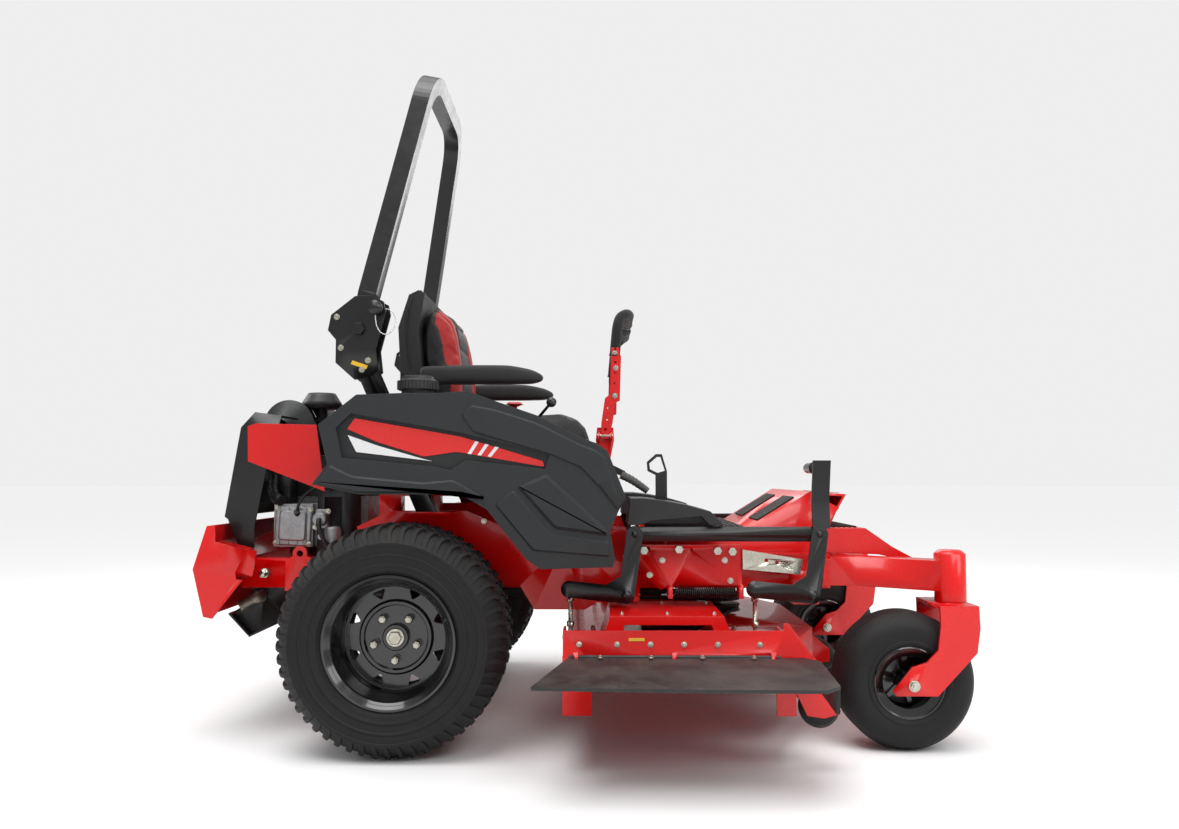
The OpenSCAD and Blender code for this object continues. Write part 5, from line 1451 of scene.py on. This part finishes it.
class MOWER_OT_controls(Maker):
    """Lap bars with foam grips, brake lever and lift foot peg"""

    bl_idname = "mower.controls"
    bl_label = "Controls"

    def make(self, sizes):
        route = [(562, -292, 1040), (566, -290, 1085), (570, -286, 1122), (578, -276, 1150),
                 (594, -258, 1164), (604, -226, 1167), (604, -180, 1166), (604, -66, 1166)]
        for label, s in SIDES:
            node = "lap_bar_" + label
            bar = Form()
            bar.plate([(522, 804), (544, 804), (556, 850), (562, 905), (576, 912),
                       (574, 1062), (552, 1062), (548, 930), (534, 918), (524, 850)],
                      [(535, 830, 4.2), (540, 860, 4.2), (545, 890, 4.2), (557, 930, 3.6),
                       (560, 960, 3.6), (562, 990, 3.6), (563, 1020, 3.6)], -306, -299)
            bar.plate([(548, 912), (576, 912), (580, 1040), (554, 1040)],
                      [(562, 935, 4), (565, 1010, 4)], -299, -294)
            bar.lathe([(0.5, 512), (5, 512), (5, 556), (0.5, 556)], (0, -302, 812), "x", 24,
                      1)
            grip = Form().tube(flow(route, 6), 15.0, 20)
            for at in (0, -1):
                p = Vector(route[at])
                q = Vector(route[1] if at == 0 else route[-2])
                out = (p - q).normalized()
                grip.tube([p - out * 4, p - out * 2, p + out * 1, p + out * 3],
                          lambda t: 16.4 if t < 0.8 else 13.5, 20, 1)
            tube = Form().tube([(561, -294, 1020), (562, -292, 1046)], 11, 16, 2)
            forms = [bar, grip, tube]
            forms = forms if s < 0 else [f.mirrored() for f in forms]
            piece("lap_bar_plate_" + label, forms[0].mesh(), body_name(node),
                  [FINISHES["frame_red"], FINISHES["zinc"]], (node,), bevel=0.8)
            piece("lap_bar_grip_" + label, joined("grip", [forms[1].mesh()]),
                  body_name(node),
                  [FINISHES["foam_grip"], FINISHES["knob_black"]], angle=50)
            piece("lap_bar_tube_" + label, forms[2].mesh(), body_name(node),
                  [FINISHES["black_paint"]] * 3)
            spots = [(562, -306.5, 925), (565, -306.5, 1004), (562, -306.5, 1046)]
            heads = bolts([(x, y * -s, z) for x, y, z in spots], (0, s, 0), 10, 5, "zinc")
            piece("lap_bar_bolts_" + label, heads, body_name(node))

        lever = Form().plate(
            [(504, 734), (508, 746), (516, 750), (592, 713), (588, 696), (524, 722),
             (512, 719), (506, 724)], [(520, 734, 5.5)], -266, -258)
        sleeve_route = [(580, -262, 703), (610, -262, 688), (640, -262, 668), (656, -262, 656)]
        sleeve = Form().tube(flow(sleeve_route, 10),
                             lambda t: 13.0 + 0.9 * math.sin(t * 62) - 3.0 * t, 20, 0, 0.85)
        body = body_name("brake_lever")
        piece("brake_lever_arm", lever.mesh(), body,
              [FINISHES["black_paint"]], ("brake_lever",), bevel=0.8)
        piece("brake_lever_sleeve", sleeve.mesh(), body,
              [FINISHES["brake_grip"]], angle=60)
        peg = Form().lathe([(0.5, -431), (13, -431), (16.5, -429), (17.5, -424), (17.5, -352),
                            (16.5, -348), (0.5, -348)], (1112, 0, 721), "y", 32)
        groove = Form().lathe([(17, -2), (19, -1), (19, 1), (17, 2)], (1112, -420, 721), "y",
                              32)
        rings = row(groove, 10, (0, 7, 0), "mat_rubber")
        rubber = peg.mesh()
        rubber.materials.append(FINISHES["mat_rubber"])
        piece("lift_peg_rubber", joined("peg", [rubber, rings]), body_name("lift_pedal"))


class MOWER_OT_springs(Maker):
    """Assist spring of the deck lift"""

    bl_idname = "mower.springs"
    bl_label = "Springs"

    def make(self, sizes):
        wire = sizes.coil_wire * 1000
        body = body_name("lift_spring")
        spring = coil((722, -386, 386), (886, -386, 386), 12.4, wire, 30, "spring_steel")
        hooks = Form().tube(flow([(715, -386, 386), (719, -386, 380), (722, -386, 375),
                                  (724, -383, 374)], 4), wire, 8)
        hooks.tube(flow([(893, -386, 386), (889, -386, 380), (886, -386, 375),
                         (884, -383, 374)], 4), wire, 8)
        ends = hooks.mesh()
        ends.materials.append(FINISHES["spring_steel"])
        piece("lift_spring_coil", joined("spring", [spring, ends]), body,
              None, ("lift_spring",), angle=70)


class MOWER_OT_engine(Maker):
    """Engine castings, hoses, clips and the blower screen"""

    bl_idname = "mower.engine"
    bl_label = "Engine Trim"

    def make(self, sizes):
        body = body_name("engine_block")
        for label, s in SIDES:
            cast = Form()
            cover = rounded([(-398, 506), (-294, 500), (-290, 612), (-394, 618)], 14, 4)
            cast.slab(cover, -300, -286, 0, 4)
            cast.slab(rounded([(-384, 520), (-306, 516), (-304, 600), (-380, 604)], 12, 4),
                      -308, -299, 0, 4)
            cast.slab(rounded([(-286, 548), (-246, 552), (-250, 606), (-284, 606)], 6, 3),
                      -296, -252, 0, 3)
            cast.lathe([(0.5, -318), (17, -318), (20, -314), (20, -290), (0.5, -290)],
                       (-266, 0, 578), "y", 28)
            cast.lathe([(0.5, -312), (9, -312), (9, -290), (0.5, -290)], (-262, 0, 530), "y",
                       20)
            cast.lathe([(16, 488), (22, 490), (24, 500), (24, 548), (20, 556), (8, 558),
                        (0.5, 558), (0.5, 488)], (-232, -296, 0), "z", 28)
            for k in range(4):
                cast.slab(rounded([(-388 + k * 25, 508), (-380 + k * 25, 508),
                                   (-380 + k * 25, 612), (-388 + k * 25, 612)], 2, 2),
                          -304, -298)
            black = Form()
            black.tube(flow([(-330, -306, 596), (-322, -318, 622), (-300, -316, 652),
                             (-268, -300, 668), (-240, -276, 662)], 6), 4.2, 10)
            black.tube(flow([(-330, -300, 590), (-330, -309, 596), (-330, -314, 600)], 4),
                       8.5, 14)
            black.tube(flow([(-266, -318, 578), (-262, -330, 560), (-246, -330, 520),
                             (-224, -316, 492), (-204, -292, 470)], 6), 6.5, 12)
            black.tube(flow([(-420, -236, 700), (-414, -262, 664), (-400, -286, 640),
                             (-376, -300, 628)], 6),
                       lambda t: 15 + 1.6 * math.sin(t * 70), 16)
            forms = [cast, black]
            forms = forms if s < 0 else [f.mirrored() for f in forms]
            piece("engine_castings_" + label, forms[0].mesh(), body,
                  [FINISHES["engine_metal"]], bevel=1.0)
            piece("engine_hoses_" + label, forms[1].mesh(), body,
                  [FINISHES["hose_rubber"]], angle=50)
            spots = [(-392, -301, 512), (-298, -301, 508), (-294, -301, 606),
                     (-388, -301, 611), (-246, -297, 600), (-282, -297, 556)]
            heads = bolts([(x, -y * s, z) for x, y, z in spots], (0, s, 0), 10, 6, "zinc")
            piece("engine_bolts_" + label, heads, body)
        spoke = Form().loft([[(30, -2.2, 0), (30, 2.2, 0), (30, 2.2, 5), (30, -2.2, 5)],
                             [(128, -2.2, 0), (128, 2.2, 0), (128, 2.2, 5), (128, -2.2, 5)]])
        screen = [ring(spoke, 36, (-290, 0, 750), (0, 0, 1), "engine_plastic")]
        rings = Form()
        for r in (32, 56, 80, 104, 127):
            rings.lathe([(r - 1.6, 750), (r + 1.6, 750), (r + 1.6, 756), (r - 1.6, 756)],
                        (-290, 0, 0), "z", 64)
        rings.lathe([(0.5, 748), (30, 748), (30, 757), (26, 760), (0.5, 761)], (-290, 0, 0),
                    "z", 40)
        hub = rings.mesh()
        hub.materials.append(FINISHES["engine_plastic"])
        piece("blower_screen", joined("screen", screen + [hub]), body_name("engine_shroud"))
        clips = Form()
        for y in (-150, 150):
            for a in (0.5, 2.6, 4.4):
                at = Vector((-402 + 75 * math.cos(a), y, 850 + 75 * math.sin(a)))
                tan = Vector((-math.sin(a), 0, math.cos(a)))
                clips.tube([at - tan * 13, at - tan * 4, at + tan * 4, at + tan * 13], 2.2, 8)
        piece("canister_clips", clips.mesh(), body_name("air_cleaner"),
              [FINISHES["bright_steel"]])


class MOWER_OT_fasteners(Maker):
    """Flanged bolt heads on the roll bar, frame, deck, caster forks and deflector"""

    bl_idname = "mower.fasteners"
    bl_label = "Fasteners"

    def make(self, sizes):
        sets = {
            "roll_bar_bolts": ("rops_uprights", "zinc", 11, 6, 441.5, (
                (-190, 1128), (-178, 1044), (-104, 1010), (-120, 985))),
            "rail_bolts": ("main_frame", "zinc", 11, 5, 363.5, (
                (690, 470), (860, 470), (655, 430), (875, 415))),
            "side_plate_bolts": ("main_frame", "zinc", 10, 5, 351.5, (
                (200, 575), (320, 545), (520, 545), (590, 480), (560, 380))),
        }
        for name, (node, look, across, height, y, spots) in sets.items():
            parts = [bolts([(x, s * y, z) for x, z in spots], (0, s, 0), across, height,
                           look) for _, s in SIDES]
            piece(name, joined(name, parts), body_name(node))
        deck = []
        skirt = [(x, -680.2, 300) for x in (470, 560, 640, 720, 800, 900)]
        deck.append(bolts(skirt, (0, -1, 0), 9, 4, "zinc"))
        studs = [(x, y, 270.2) for x in (500, 560, 850, 900) for y in (-640, -250, 250, 600)]
        deck.append(bolts(studs, (0, 0, 1), 10, 5, "zinc"))
        tops = [(x, s * y, 350.2) for x in (575, 690, 810) for y in (330, 530)
                for s in (-1, 1)]
        deck.append(bolts(tops, (0, 0, 1), 9, 4, "zinc"))
        piece("deck_bolts", joined("deck_bolts", deck), body_name("deck_shell"))
        flange = [(x, -692 - 20, 276) for x in (520, 640, 760, 880)]
        for label, _ in SIDES:
            node = "caster_fork_" + label
            low, high = (unplace(corner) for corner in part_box(node))
            x, z = CASTER_AXLE
            axle = [(x, low.y, z), (x, high.y, z)]
            ends = [bolts(axle[:1], (0, -1, 0), 19, 8), bolts(axle[1:], (0, 1, 0), 19, 8)]
            piece("caster_axle_ends_" + label, joined("axle_ends", ends), body_name(node))
        piece("deflector_bolts", bolts(flange, (0, -0.1, 1), 9, 4, "zinc"),
              body_name("deflector"))


class MOWER_OT_labels(Maker):
    """Plain label plates, foot mat and grip pads"""

    bl_idname = "mower.labels"
    bl_label = "Labels and Mats"

    def make(self, sizes):
        ribs = Form().slab(rounded([(660, 553), (672, 553), (670, 558), (662, 558)], 1.5, 2),
                           -262, 262)
        mat = row(ribs, 17, (16, 0, 0), "mat_rubber")
        piece("foot_mat", mat, body_name("foot_plate"))
        treads = Form().slab([(1170, 553), (1176, 553), (1175, 557), (1171, 557)], -250, 250)
        piece("step_treads", row(treads, 6, (15, 0, 0), "mat_rubber"),
              body_name("foot_plate"))
        slope = [(974, 571), (1080, 637), (1078, 640.5), (972, 574.5)]
        pads = Form().slab(slope, -225, -70).slab(slope, 70, 225)
        piece("heel_pads", pads.mesh(), body_name("foot_plate"),
              [FINISHES["mat_rubber"]], bevel=1.0)
        tan = Form().slab([(1120, 655.5), (1200, 650.5), (1200, 652.5), (1120, 657.5)],
                          -262, -150)
        piece("step_label", tan.mesh(), body_name("foot_plate"),
              [FINISHES["label_tan"]])
        for label, s in SIDES:
            strip = Form().slab([(-150, 1000), (-108, 986), (-104, 996), (-146, 1010)],
                                s * 441, s * 442.2)
            piece("roll_bar_label_" + label, strip.mesh(), body_name("rops_uprights"),
                  [FINISHES["label_yellow"]])
        strip = Form().block((588, -681.0, 308), (626, -680, 315))
        piece("deck_label", strip.mesh(), body_name("deck_shell"),
              [FINISHES["label_yellow"]])


# ---- panel ----

PIECES = (MOWER_OT_stage, MOWER_OT_lanyard, MOWER_OT_tyres, MOWER_OT_rims,
          MOWER_OT_casters, MOWER_OT_bodywork, MOWER_OT_tanks, MOWER_OT_caps, MOWER_OT_seat,
          MOWER_OT_armrests, MOWER_OT_controls, MOWER_OT_springs, MOWER_OT_engine,
          MOWER_OT_fasteners, MOWER_OT_labels)


class MOWER_PT_panel(bpy.types.Panel):
    """Lists the mower's pieces and settings"""

    bl_idname = "MOWER_PT_panel"
    bl_label = "Zero Turn Mower"
    bl_space_type = "VIEW_3D"
    bl_region_type = "UI"
    bl_category = "Mower"

    def draw(self, context):
        layout = self.layout
        for group in (context.scene.mower_colours, context.scene.mower_sizes):
            for key in group.__annotations__:
                layout.prop(group, key)
        for made in PIECES:
            layout.operator(made.bl_idname)


def register():
    for made in (MowerColours, MowerSizes, *PIECES, MOWER_PT_panel):
        bpy.utils.register_class(made)
    bpy.types.Scene.mower_colours = bpy.props.PointerProperty(type=MowerColours)
    bpy.types.Scene.mower_sizes = bpy.props.PointerProperty(type=MowerSizes)


def unregister():
    del bpy.types.Scene.mower_colours
    del bpy.types.Scene.mower_sizes
    for made in (MowerColours, MowerSizes, *PIECES, MOWER_PT_panel)[::-1]:
        bpy.utils.unregister_class(made)


def main():
    register()
    for made in PIECES:
        getattr(bpy.ops.mower, made.bl_idname.split(".")[1])()


if __name__ == "__main__":
    main()
